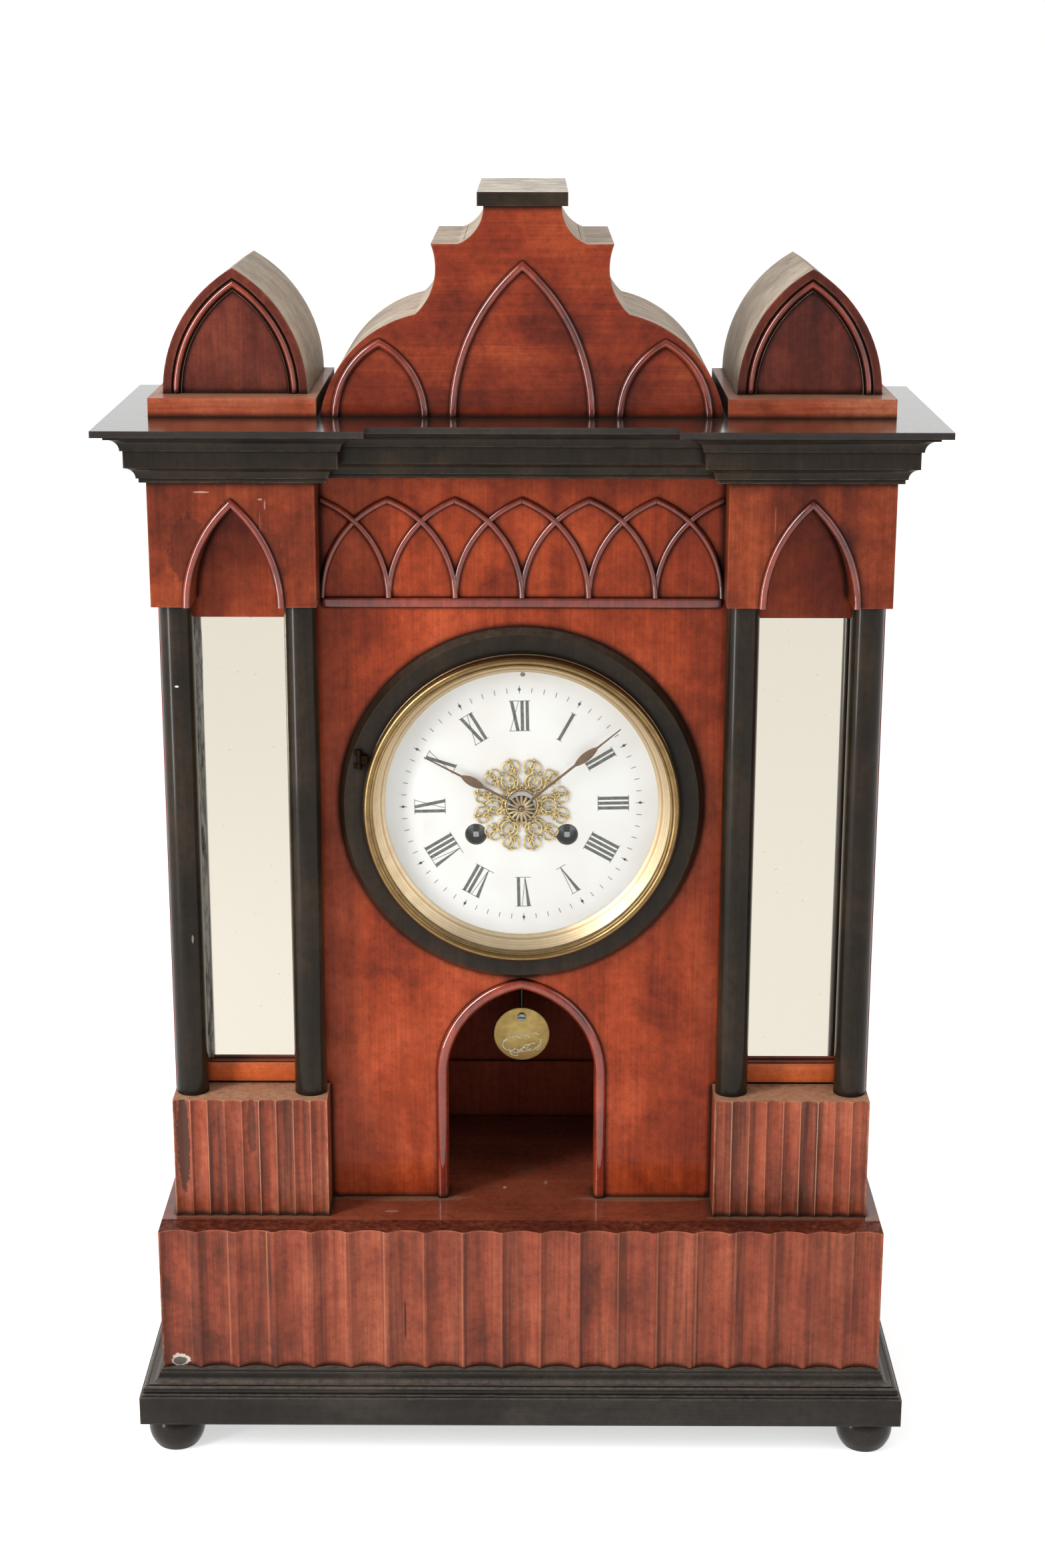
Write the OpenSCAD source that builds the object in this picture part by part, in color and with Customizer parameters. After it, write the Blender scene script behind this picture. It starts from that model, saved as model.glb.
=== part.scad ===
// Gothic mantel clock with columns, mirrored niches and a round two-train movement.
// Millimetres. X to the right, Y to the back, Z up. The origin is the centre of the footprint on the floor.

/* [Base] */
// Diameter of each bun foot
foot_d = 27; // [25:0.5:29]
// Height of each bun foot
foot_h = 17; // [15:0.5:19]
// Width of the black plinth
plinth_w = 363; // [358:1:368]
// Depth of the black plinth, front to back
plinth_depth = 162; // [158:1:166]
// Height of the flat band of the plinth
band_h = 14; // [12:0.5:16]
// Height of the moulding above the band
plinth_mould_h = 10.5; // [10:0.5:12]
// How far the plinth stands out from the fluted base
base_step = 10.5; // [10:0.5:12]
// Height of the fluted base
base_h = 71; // [68:0.5:74]
// Number of flutes across the base
base_flutes = 19; // [17:2:21]
// Depth of each flute of the base
base_cut = 2.6; // [2:0.1:3]

/* [Case] */
// Width of the case
case_w = 331; // [328:1:334]
// Distance from the front of the base back to the case front
case_set = 40; // [38:0.5:42]
// Thickness of the front panel
front_t = 12; // [11:0.5:13]
// Thickness of the side and back boards
board_t = 9; // [8:0.5:10]
// How far the case back stands in from the back of the plinth
back_set = 3; // [2.5:0.5:4]
// Width of each fluted pedestal
pedestal_w = 73; // [72:0.5:75]
// How far the pedestals stand out from the case front
pedestal_out = 22; // [21:0.5:23]
// Height of the pedestals
pedestal_h = 59.3; // [57:0.1:61]
// Number of flutes across a pedestal
pedestal_flutes = 9; // [7:2:11]
// Depth of each flute of a pedestal
pedestal_cut = 1.2; // [0.9:0.1:1.4]
// Diameter of the columns
column_d = 15.2; // [14:0.1:16]
// Height of the columns
column_h = 237.5; // [232:0.5:242]
// Distance between the two columns of a pair
column_pitch = 56.2; // [55:0.1:57]
// Height of the arched blocks on the columns
block_h = 56.7; // [55:0.1:59]
// Width of the opening in a block, at its foot
block_span = 38.4; // [37:0.1:39.5]
// Height of the opening in a block
block_rise = 44.3; // [43:0.1:46]
// Depth of the mirror face behind the case front
mirror_set = 4; // [3:0.1:6]
// Width of each mirror opening
mirror_w = 62; // [60:0.5:64]
// Height of the wood below each mirror
mirror_sill = 11.2; // [10:0.1:13]
// Height of each mirror opening
mirror_h = 217; // [212:0.5:220]

/* [Cornice] */
// Height of the cornice mouldings below the top slab
cornice_h = 22.2; // [22:0.1:24]
// Thickness of the top slab
slab_t = 3; // [2.5:0.1:4]
// How far the top slab stands out beyond the blocks
slab_over = 20.5; // [19.5:0.1:21.5]
// How far the middle of the cornice stands back from its two wings
cornice_break = 13.7; // [12:0.1:15]

/* [Top pieces] */
// Width of each tower
tower_w = 65; // [63:0.5:67]
// Height of each tower
tower_h = 55.6; // [54:0.1:58]
// Thickness of the board under a tower
tower_board_h = 8.6; // [7.5:0.1:9.5]
// Width of the board under a tower
tower_board_w = 75; // [74:0.5:76]
// Size of the crest against its drawn outline
crest_size = 1; // [0.97:0.01:1.03]
// Thickness of the cap on the crest
cap_t = 6; // [5:0.5:7]

/* [Dial] */
// Height of the dial centre above the top of the base
dial_rise = 198.8; // [197:0.1:201]
// Diameter of the enamel that shows
dial_d = 127; // [125:0.5:128]
// Diameter of the black ring round the dial
surround_d = 168.8; // [168:0.1:172]
// Diameter of the bezel
bezel_d = 146.8; // [146:0.1:147.6]
// Diameter of the winding holes
wind_d = 9.3; // [8.5:0.1:10]
// Length of the minute hand
minute_l = 59; // [56:0.5:61]
// Length of the hour hand
hour_l = 50.8; // [48:0.5:53]

/* [Pendulum] */
// Length of the pendulum from its pivot to the middle of the bob
pendulum_l = 174.6; // [170:0.1:177]
// Diameter of the bob
bob_d = 28; // [26:0.5:30]
// Half width of the arched opening in front of the bob
window_w = 35.1; // [34:0.1:36]
// Height of the straight sides of that opening
window_h = 64; // [60:0.5:66]

/* [Movement] */
// Radius of the two plates
plate_r = 46; // [45:0.5:47]
// Space between the plates
plate_gap = 36; // [36:0.5:38]
// Thickness of the plates
plate_t = 2.5; // [2:0.1:3]

/* [Hidden] */
$fn = 48;
eps = 0.01;

// running clearance of a pivot, and a wider gap between pieces that pass each other
run = 0.05;
gap = 0.3;

// heights
z_plinth = foot_h;
z_base = z_plinth + band_h + plinth_mould_h;
z_case = z_base + base_h;
z_ped = z_case + pedestal_h;
z_block = z_ped + column_h;
z_cornice = z_block + block_h;
z_slab = z_cornice + cornice_h;
z_top = z_slab + slab_t;
z_dial = z_case + dial_rise;

// depths
y_plinth = -plinth_depth / 2;
y_base = y_plinth + base_step;
y_case = y_base + case_set;
y_ped = y_case - pedestal_out;
y_block = y_ped - 1;
y_back = plinth_depth / 2 - back_set;
y_wing = y_block - 1.5;
y_mid = y_wing + cornice_break;

base_w = plinth_w - 2 * base_step;
x_out = case_w / 2;
pair_x = x_out - 1 - pedestal_w / 2;
block_w = x_out - (pair_x - pedestal_w / 2);
block_x = x_out - block_w / 2;
wing_in = x_out - block_w - 3;

// ---- drawing helpers ----

// extrude a drawing in x and z from y0 at the front to y1 at the back
module slab(y0, y1) {
  translate([0, y1, 0])
    rotate([90, 0, 0])
      linear_extrude(height = y1 - y0)
        children();
}

// extrude a drawing in y and z from x0 to x1
module run_x(x0, x1) {
  translate([x0, 0, 0])
    rotate([90, 0, 90])
      linear_extrude(height = x1 - x0)
        children();
}

// turn a drawing of radius and depth about an axis that runs front to back
module turned(x, z) {
  translate([x, 0, z])
    rotate([-90, 0, 0])
      rotate_extrude()
        children();
}

// a plain round bar along Y
module bar(x, z, r, y0, y1) {
  translate([x, y0, z])
    rotate([-90, 0, 0])
      cylinder(r = r, h = y1 - y0);
}

// a board from its corners
module board(x0, x1, y0, y1, z0, z1) {
  translate([x0, y0, z0])
    cube([x1 - x0, y1 - y0, z1 - z0]);
}

module both_sides() {
  children();
  mirror([1, 0, 0])
    children();
}

// distance of the arc centres from the middle of a pointed arch
function arch_c(hw, rise) = (rise * rise - hw * hw) / (2 * hw);

// the area under a pointed arch of half width hw, moved outward by off and drawn down to -low
module arch(hw, rise, off = 0, low = 0) {
  c = arch_c(hw, rise);
  r = hw + c + off;
  intersection() {
    translate([-c, 0])
      circle(r = r);
    translate([c, 0])
      circle(r = r);
    translate([-r, -low])
      square([2 * r, 2 * r]);
  }
}

// a line of width w that follows a pointed arch
module arch_line(hw, rise, w) {
  difference() {
    arch(hw, rise, w / 2);
    translate([0, -eps])
      arch(hw, rise, -w / 2);
  }
}

// a raised bead in two steps, standing t out from the plane y
module arch_bead(x, z, y, hw, rise, w, t) {
  translate([x, 0, z]) {
    slab(y - t * 0.6, y)
      arch_line(hw, rise, w);
    slab(y - t, y)
      arch_line(hw, rise, w * 0.55);
  }
}

// ---- base ----

module bun_feet() {
  color("#2b2724")
    for (sx = [-1, 1])
      for (sy = [-1, 1])
        translate([sx * (plinth_w / 2 - foot_d / 2 - 2), sy * (plinth_depth / 2 - foot_d / 2 - 2), 0])
          intersection() {
            translate([0, 0, foot_h * 0.55])
              sphere(r = foot_d / 2);
            cylinder(r = foot_d / 2, h = foot_h);
          }
}

// plinth edge: distance out from the base face against height
module plinth_edge(reach) {
  h = plinth_mould_h;
  translate([-reach, 0])
    square([reach + base_step, band_h]);
  translate([-reach, band_h])
    square([reach + base_step - 4.2, 5]);
  translate([-reach, band_h])
    square([reach + base_step - 1, 1]);
  translate([base_step - 3.2, band_h + 2.8])
    circle(r = 1.7);
  difference() {
    translate([-reach, band_h + 4.6])
      square([reach + 5.4, h - 6.1]);
    translate([5.9, band_h + h - 1.5])
      circle(r = h - 6.2);
  }
  translate([-reach, band_h + h - 1.5])
    square([reach + 1, 1.5]);
}

module plinth() {
  color("#2b2724")
    difference() {
      intersection() {
        translate([0, 0, z_plinth])
          slab(y_plinth, plinth_depth / 2)
            both_halves(base_w / 2)
              plinth_edge(2 * base_w);
        translate([0, 0, z_plinth])
          run_x(-plinth_w, plinth_w)
            front_edge(y_base)
              plinth_edge(2 * plinth_depth);
      }
      board(-base_w / 2 + 22, base_w / 2 - 22, y_base + 22, y_back - 18, z_plinth + 8, z_base + 1);
    }
}

// set an edge drawing so that its zero line is at y and it reaches toward the front
module front_edge(y) {
  translate([y, 0])
    mirror([1, 0])
      children();
}

// keep an edge drawing on both sides of the middle, h away from it
module both_halves(h) {
  intersection() {
    translate([h, 0])
      children();
    mirror([1, 0])
      translate([h, 0])
        children();
  }
}

// plan of a board whose front is cut into concave flutes with narrow flat ridges between them
module fluted_plan(w, depth, n, cut, ridge) {
  pitch = w / n;
  half = (pitch - ridge) / 2;
  r = (half * half + cut * cut) / (2 * cut);
  difference() {
    translate([-w / 2, 0])
      square([w, depth]);
    for (i = [0:n - 1])
      translate([-w / 2 + pitch * (i + 0.5), cut - r])
        circle(r = r);
  }
}

module base_front() {
  color("#8a4a38")
    translate([0, y_base, z_base])
      linear_extrude(height = base_h)
        fluted_plan(base_w, 14, base_flutes, base_cut, 1.2);
}

module base_carcass() {
  color("#7c3f2f") {
    both_sides()
      board(base_w / 2 - board_t, base_w / 2, y_base + 14, y_back, z_base, z_case);
    board(-base_w / 2 + board_t, base_w / 2 - board_t, y_back - board_t, y_back, z_base, z_case - 8);
    board(-base_w / 2 + board_t, base_w / 2 - board_t, y_base + 14, y_back, z_case - 8, z_case);
  }
}

module pedestals() {
  color("#8f4d3a")
    both_sides()
      translate([pair_x, y_ped, z_case])
        linear_extrude(height = pedestal_h)
          fluted_plan(pedestal_w, pedestal_out, pedestal_flutes, pedestal_cut, 0.8);
}

module columns() {
  color("#26221f")
    both_sides()
      for (s = [-1, 1])
        translate([pair_x + s * column_pitch / 2, y_column, z_ped])
          cylinder(r = column_d / 2, h = column_h);
}

module arch_blocks() {
  color("#93492f")
    both_sides()
      translate([block_x, 0, z_block])
        slab(y_block, y_case)
          difference() {
            translate([-block_w / 2, 0])
              square([block_w, block_h]);
            translate([0, -eps])
              arch(block_span / 2, block_rise);
          }
}

// the planted beads round the arches of the blocks, the towers, the crest and the pendulum opening
module arch_beads() {
  hw = tower_w / 2;
  color("#6d3423") {
    both_sides() {
      arch_bead(block_x, z_block, y_block, block_span / 2 + 1.9, block_rise + 2.6, 3.4, 1.8);
      arch_bead(tower_x, z_tower, y_tower + 0.9, hw - 6, tower_h - 6.9, 2.6, 1.8);
      arch_bead(63.4 * crest_size, z_top, y_crest, 19.9 * crest_size, 32.9 * crest_size, 3.8, 1.9);
    }
    arch_bead(0, z_top, y_crest, 30.9 * crest_size, 66.5 * crest_size, 3.8, 1.9);
    for (k = [0, 1])
      translate([0, 0, z_case])
        slab(y_case - (k == 0 ? 1.2 : 2), y_case)
          difference() {
            window_area(k == 0 ? 4 : 3.1);
            window_area(k == 0 ? 0 : 0.9, 1);
          }
  }
}

// ---- case ----

// the arched opening in front of the bob, moved outward by off and drawn down to -low
module window_area(off, low = 0) {
  translate([-window_w - off + eps, -low])
    square([2 * (window_w + off - eps), window_h + low]);
  translate([0, window_h])
    arch(window_w, window_rise, off, 8);
}

window_rise = 43.5;
mirror_x = pair_x;
y_column = y_ped + 5.4 + column_d / 2;
rail_out = y_case - y_column - column_d / 2 - gap;
y_mirror = y_case + mirror_set;

module case_front() {
  color("#93492f")
    difference() {
      slab(y_case, y_case + front_t)
        difference() {
          translate([-x_out, z_case])
            square([2 * x_out, z_cornice - z_case]);
          translate([0, z_dial])
            circle(r = pan_r + 0.1);
          translate([0, z_case])
            window_area(0, 1);
          for (s = [-1, 1])
            translate([s * mirror_x - mirror_w / 2, z_ped + mirror_sill])
              square([mirror_w, mirror_h]);
        }
      both_sides() {
        board(mirror_x - mirror_w / 2 - 3, mirror_x + mirror_w / 2 + 3, y_mirror, y_case + front_t + 1,
          z_ped + mirror_sill - 3, z_ped + mirror_sill + mirror_h + 3);
        bar(bar_screw_x[1], z_dial, bar_screw_r, y_pan - 5, y_pan_back + 1);
      }
    }
}

// each mirror plate with the board it is bedded on
module mirrors() {
  color("#e6e2d8")
    both_sides()
      board(mirror_x - mirror_w / 2 - 3, mirror_x + mirror_w / 2 + 3, y_mirror, y_case + front_t,
        z_ped + mirror_sill - 3, z_ped + mirror_sill + mirror_h + 3);
}

module niche_rails() {
  color("#8f4d3a")
    both_sides()
      board(mirror_x - mirror_w / 2, mirror_x + mirror_w / 2, y_case - rail_out, y_case, z_ped + 1.4, z_ped + mirror_sill - 0.6);
}

module case_sides() {
  color("#7c3f2f")
    both_sides()
      board(x_out - board_t, x_out, y_case + front_t, y_back, z_case, z_cornice);
}

door_w = 150;
door_z0 = z_case + 30;
door_h = z_cornice - 30 - door_z0;
y_door = y_back - board_t;

module back_frame() {
  color("#6f3d2a")
    difference() {
      slab(y_door, y_back)
        difference() {
          translate([-x_out + board_t, z_case])
            square([2 * (x_out - board_t), z_cornice - z_case]);
          translate([-door_w / 2, door_z0])
            square([door_w, door_h]);
        }
      bar(button_x, button_z, button_r, y_back - 6, y_back + 1);
    }
}

module back_door() {
  color("#6f3d2a") {
    slab(y_door + 2, y_back)
      translate([-door_w / 2 + gap, door_z0 + gap])
        square([door_w - 2 * gap, door_h - 2 * gap]);
    for (i = [0, 1])
      hinge_barrel(i, 1);
  }
}

hinge_x = -door_w / 2 - 0.2;
hinge_y = y_back + 1.3;

// knuckles of the back door: part 0 is fixed, part 1 turns
module hinge_barrel(i, part) {
  z0 = door_z0 + (i == 0 ? 40 : door_h - 60);
  h = 20 / 3;
  for (k = [0:2])
    if ((k == 1) == (part == 1))
      difference() {
        union() {
          translate([hinge_x, hinge_y, z0 + k * h + 0.05])
            cylinder(r = 1.3, h = h - 0.1);
          if (part == 1)
            board(hinge_x, hinge_x + 6, y_back, y_back + 0.8, z0 + h + 0.05, z0 + 2 * h - 0.05);
        }
        if (part == 1)
          translate([hinge_x, hinge_y, z0])
            cylinder(r = 0.6 + run, h = 20);
      }
}

module door_fittings() {
  color("#b08a4a") {
    for (i = [0, 1]) {
      z0 = door_z0 + (i == 0 ? 40 : door_h - 60);
      hinge_barrel(i, 0);
      translate([hinge_x, hinge_y, z0])
        cylinder(r = 0.6, h = 20);
      for (k = [0, 2])
        board(hinge_x - 8, hinge_x, y_back, y_back + 0.8, z0 + k * 20 / 3 + 0.05, z0 + (k + 1) * 20 / 3 - 0.05);
    }
    bar(button_x, button_z, button_r, y_back - 6, y_back + 1.9);
    difference() {
      bar(button_x, button_z, 2.7, y_back + 1.9, y_back + 2.9);
      board(button_x - 3, button_x + 3, y_back + 2.4, y_back + 4, button_z - 0.3, button_z + 0.3);
    }
  }
}

button_x = door_w / 2 + 7;
button_z = door_z0 + door_h / 2;
button_r = 1.5;

module door_button() {
  color("#b08a4a")
    slab(y_back + gap, y_back + 1.8)
      difference() {
        union() {
          translate([button_x - 3.5, button_z - 13])
            square([7, 13]);
          translate([button_x, button_z])
            circle(r = 4);
        }
        translate([button_x, button_z])
          circle(r = button_r + run);
      }
}

pan_r = bezel_d / 2 - 1.6;
y_dial = y_case - 0.5;
y_seat = y_case - 6;

module dial_surround() {
  ro = surround_d / 2;
  color("#2b2724")
    turned(0, z_dial)
      polygon([[pan_r + 0.4, y_case], [pan_r + 0.4, y_seat], [ro - 2.4, y_seat], [ro, y_seat + 3.4], [ro, y_case]]);
}

lattice_z = z_block;
lattice_pitch = (pair_x - pedestal_w / 2 - 0.6) / 3;
lattice_rise = 44.5;
lattice_r = lattice_pitch + arch_c(lattice_pitch, lattice_rise);

// every leg of the lattice that leans one way, s = 1 for legs that fall to the right
module lattice_legs(s, w) {
  c = arch_c(lattice_pitch, lattice_rise);
  intersection() {
    for (i = [-4:3])
      intersection() {
        translate([lattice_pitch * (s > 0 ? i : i + 1) - s * c, 0])
          difference() {
            circle(r = lattice_r + w / 2);
            circle(r = lattice_r - w / 2);
          }
        translate([lattice_pitch * i - 1, 0])
          square([lattice_pitch + 2, lattice_rise + 3]);
      }
    translate([-3 * lattice_pitch, 0])
      square([6 * lattice_pitch, lattice_rise + 2.4]);
  }
}

module frieze_lattice() {
  color("#6d3423") {
    translate([0, 0, lattice_z]) {
      for (k = [0, 1]) {
        slab(y_case - (k == 0 ? 1.1 : 1.9), y_case) {
          lattice_legs(1, k == 0 ? 3.2 : 1.8);
          difference() {
            lattice_legs(-1, k == 0 ? 3.2 : 1.8);
            lattice_legs(1, 4.4);
          }
        }
      }
    }
    slab(y_case - 1.6, y_case)
      translate([-3 * lattice_pitch, lattice_z - 4.5])
        square([6 * lattice_pitch, 4.5]);
  }
}

// ---- cornice ----

// edge of the cornice: distance out from the core against height
module cornice_edge(reach) {
  k = slab_over - 20.5;
  translate([-reach, 0])
    square([reach + 2.6 + k, 2]);
  difference() {
    translate([-reach, 2])
      square([reach + 8.3 + k, 5.2]);
    translate([8.9 + k, 2])
      circle(r = 5.2);
  }
  translate([-reach, 7.2])
    square([reach + 8.3 + k, 7.7]);
  difference() {
    translate([-reach, 14.9])
      square([reach + 14.6 + k, cornice_h - 16.5]);
    translate([15.2 + k, 14.9])
      circle(r = cornice_h - 16.5);
  }
  translate([-reach, cornice_h - 1.6])
    square([reach + 15.6 + k, 1.6]);
}

module cornice_box(x0, x1, yf) {
  mid = (x0 + x1) / 2;
  intersection() {
    translate([mid, 0, z_cornice])
      slab(y_wing - 60, y_back)
        both_halves((x1 - x0) / 2)
          cornice_edge(3 * (x1 - x0));
    translate([0, 0, z_cornice])
      run_x(x0 - 60, x1 + 60)
        front_edge(yf)
          cornice_edge(2 * plinth_depth);
  }
}

module cornice() {
  color("#2b2724")
    difference() {
      union() {
        cornice_box(wing_in, x_out, y_wing);
        cornice_box(-x_out, -wing_in, y_wing);
        cornice_box(-x_out, x_out, y_mid);
      }
      board(-x_out + 12, x_out - 12, y_case + front_t, y_back - board_t, z_cornice - 1, z_slab + 1);
    }
}

module cornice_top() {
  color("#2b2724")
    for (r = [[wing_in, x_out, y_wing], [-x_out, -wing_in, y_wing], [-x_out, x_out, y_mid]])
      board(r[0] - slab_over, r[1] + slab_over, r[2] - slab_over, y_back, z_slab, z_top);
}

// ---- towers and crest ----

tower_x = x_out + 1 - tower_board_w / 2;
y_top = y_case - 3;
y_tower = y_top + 15;
y_crest = y_case - 1;
z_tower = z_top + tower_board_h;

module tower_boards() {
  color("#8a4630")
    both_sides()
      board(tower_x - tower_board_w / 2, tower_x + tower_board_w / 2, y_top, y_back, z_top, z_tower);
}

module towers() {
  hw = tower_w / 2;
  color("#7a3a2a")
    both_sides()
      translate([tower_x, 0, z_tower])
        difference() {
          slab(y_tower, y_back)
            arch(hw, tower_h);
          translate([0, 0, -eps])
            slab(y_tower + 10, y_back - 10)
              arch(hw, tower_h, -8);
          translate([0, 0, -eps])
            slab(y_tower - 1, y_tower + 1.2)
              arch(hw, tower_h, -8.4);
          slab(y_tower - 1, y_tower + 0.9)
            arch_line(hw - 6, tower_h - 6.9, 4.6);
        }
}

// outline of the crest, drawn from its base line
module crest_outline() {
  ear = 75.6;
  intersection() {
    union() {
      intersection() {
        translate([35.7, -8.4])
          circle(r = 55);
        translate([0, 0])
          square([100, 60]);
      }
      difference() {
        square([63.5, ear + 0.2]);
        translate([65.7, ear - 10])
          circle(r = 27.4);
      }
      difference() {
        square([34.5, 92.2]);
        translate([34.5, ear + 16.5])
          circle(r = 17.4);
      }
    }
    square([100, 92.2]);
  }
}

module crest() {
  color("#8f432c")
    difference() {
      translate([0, 0, z_top])
        slab(y_crest, y_back)
          scale([crest_size, crest_size]) {
            crest_outline();
            mirror([1, 0])
              crest_outline();
          }
      translate([0, 0, z_top])
        slab(y_crest + 12, y_back - 12)
          scale([crest_size, crest_size]) {
            translate([-72, -1])
              square([144, 30]);
            translate([-54, -1])
              square([108, 38]);
            translate([-26, -1])
              square([52, 78]);
          }
    }
}

module crest_cap() {
  z = z_top + 92.2 * crest_size;
  color("#2b2724")
    board(-19.9, 19.9, y_crest - 2.6, y_back, z, z + cap_t);
}

// ---- dial and hands ----

dial_t = 1.5;
y_pan_back = y_case + front_t;
y_pan = y_pan_back - 1.2;
bar_screw_x = [pan_r - 5.5, pan_r + 7.5];
bar_screw_r = 1.5;
wind_x = 21.2;
wind_z = -14.4;

module dial_pan() {
  r = pan_r;
  rd = dial_d / 2;
  color("#c9a66b")
    difference() {
      turned(0, z_dial)
        polygon([[r + 1.4, y_seat - 0.6], [r - 1.8, y_seat - 0.6], [rd, y_dial - 0.6], [rd, y_dial],
          [rd + 1.2, y_dial], [r - 1.2, y_seat + 1.6], [r - 1.2, y_pan], [38, y_pan],
          [38, y_pan_back], [r, y_pan_back], [r, y_seat], [r + 1.4, y_seat]]);
      for (s = [-1, 1])
        bar(s * bar_screw_x[0], z_dial, bar_screw_r, y_pan - 1, y_pan_back + 1);
    }
}

module movement_bars() {
  color("#b08a4a")
    slab(y_pan_back, y_pan_back + 2)
      for (s = [-1, 1])
        translate([s * (bar_screw_x[0] + bar_screw_x[1]) / 2, z_dial])
          difference() {
            square([28, 12], center = true);
            for (k = [-1, 1])
              translate([k * (bar_screw_x[1] - bar_screw_x[0]) / 2, 0])
                circle(r = bar_screw_r);
          }
}

module bar_screws() {
  y = y_pan_back + 2;
  color("#c0c0c0")
    for (s = [-1, 1])
      for (k = [0, 1])
        difference() {
          union() {
            bar(s * bar_screw_x[k], z_dial, 2.6, y, y + 1.4);
            bar(s * bar_screw_x[k], z_dial, bar_screw_r, y_pan - k * 5, y);
          }
          board(s * bar_screw_x[k] - 3, s * bar_screw_x[k] + 3, y + 0.8, y + 2, z_dial - 0.3, z_dial + 0.3);
        }
}

module dial() {
  color("#f6f3ea") {
    difference() {
      slab(y_dial, y_dial + dial_t)
        translate([0, z_dial])
          difference() {
            circle(r = dial_d / 2 + 1.2);
            circle(r = 3.3);
            for (s = [-1, 1])
              translate([s * wind_x, wind_z])
                circle(r = wind_d / 2);
          }
    }
    for (a = [90, 210, 330])
      bar(50 * cos(a), z_dial + 50 * sin(a), 1.1, y_dial + dial_t, y_pan);
  }
}

module rosette() {
  color("#c9a24a")
    translate([0, 0, z_dial])
      slab(y_dial - 1.6, y_dial)
        difference() {
          union() {
            circle(r = 6.4);
            for (i = [0:5])
              rotate([0, 0, 60 * i])
                translate([11.5, 0])
                  circle(r = 6.2);
            for (i = [0:11])
              rotate([0, 0, 30 * i + 15])
                translate([19.9, 0])
                  circle(r = 3.5);
          }
          circle(r = 3.3);
          for (i = [0:5])
            rotate([0, 0, 60 * i]) {
              translate([14.2, 0])
                circle(r = 2.2);
              translate([9, 2.2])
                circle(r = 1.5);
              translate([9, -2.2])
                circle(r = 1.5);
            }
          for (i = [0:11])
            rotate([0, 0, 30 * i + 15])
              translate([20.1, 0])
                circle(r = 2.1);
        }
}

// a hand drawn along +X: hub, thin shaft, leaf and needle
module hand(l, hub, bore, leaf0, leaf1, leaf_w) {
  lh = (leaf1 - leaf0) / 2;
  hw = leaf_w / 2;
  r = (lh * lh + hw * hw) / (2 * hw);
  difference() {
    union() {
      circle(r = hub);
      translate([0, -0.5])
        square([leaf0 + 1.5, 1]);
      intersection() {
        translate([(leaf0 + leaf1) / 2, hw - r])
          circle(r = r);
        translate([(leaf0 + leaf1) / 2, r - hw])
          circle(r = r);
      }
      polygon([[leaf1 - 2.2, -0.45], [l, -0.2], [l, 0.2], [leaf1 - 2.2, 0.45]]);
    }
    circle(r = bore);
  }
}

minute_a = 39.6;
hour_a = 152.4;
y_hour = y_dial - 3.6;
y_minute = y_hour - 1.8;

module hour_hand() {
  color("#6b4a2c")
    translate([0, 0, z_dial])
      slab(y_hour, y_hour + 0.7)
        rotate([0, 0, hour_a])
          hand(hour_l, 3.6, 2.6, 19, 32, 4.2);
}

module minute_hand() {
  color("#6b4a2c")
    translate([0, 0, z_dial])
      slab(y_minute, y_minute + 0.8)
        rotate([0, 0, minute_a])
          hand(minute_l, 3, 1.75, 31, 46, 4);
}

module center_boss() {
  color("#b8935a")
    translate([0, 0, z_dial])
      difference() {
        union() {
          slab(y_minute - 2, y_minute)
            difference() {
              circle(r = 6.8);
              for (i = [0:13])
                rotate([0, 0, 360 / 14 * i])
                  translate([7.3, 0])
                    circle(r = 0.9);
            }
          turned(0, 0)
            polygon([[0, y_minute - 3], [2.2, y_minute - 3], [3.2, y_minute - 2], [0, y_minute - 2]]);
        }
      }
}

// ---- bezel ----

hinge_up = 23.4;
hx = -bezel_d / 2 - 1.2;
hy = y_seat - 1.4;

module bezel() {
  r = bezel_d / 2;
  y = y_seat - 0.8;
  color("#a98b61") {
    turned(0, z_dial)
      polygon([[r, y], [r, y - 2.7], [r - 1.6, y - 6.3], [r - 3, y - 7], [r - 4.8, y - 6.3], [r - 4.8, y - 5.5],
        [r - 3.7, y - 5.5], [r - 3.7, y - 2.9], [r - 4.8, y - 2.9], [r - 4.8, y - 1.3], [r - 3.2, y]]);
    difference() {
      union() {
        translate([hx, hy, z_dial + hinge_up - 1.95])
          cylinder(r = 1.1, h = 3.9);
        board(hx, hx + 5.6, hy - 0.5, hy + 0.6, z_dial + hinge_up - 1.95, z_dial + hinge_up + 1.95);
      }
      translate([hx, hy, z_dial])
        cylinder(r = 0.5 + run, h = 60);
    }
  }
}

module bezel_glass() {
  r = bezel_d / 2 - 3.8;
  y = y_seat - 0.8;
  color("#dfe8ea")
    turned(0, z_dial)
      polygon([[0, y - 5.4], [r - 6, y - 5.4], [r, y - 4.2], [r, y - 2.9], [0, y - 2.9]]);
}

module bezel_hinge() {
  z = z_dial + hinge_up;
  color("#a98b61") {
    for (s = [-1, 1])
      translate([hx, hy, z + (s > 0 ? 2.05 : -4.45)])
        cylinder(r = 1.1, h = 2.4);
    translate([hx, hy, z - 4.45])
      cylinder(r = 0.5, h = 8.9);
    for (s = [-1, 1])
      board(hx - 2.6, hx, y_seat - 0.5, y_seat, z + (s > 0 ? 2.05 : -4.45), z + (s > 0 ? 4.45 : -2.05));
  }
}

// ---- movement ----

yf = y_pan_back;
yi = yf + plate_t;
yb = yi + plate_gap;
yr = yb + plate_t;

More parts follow.
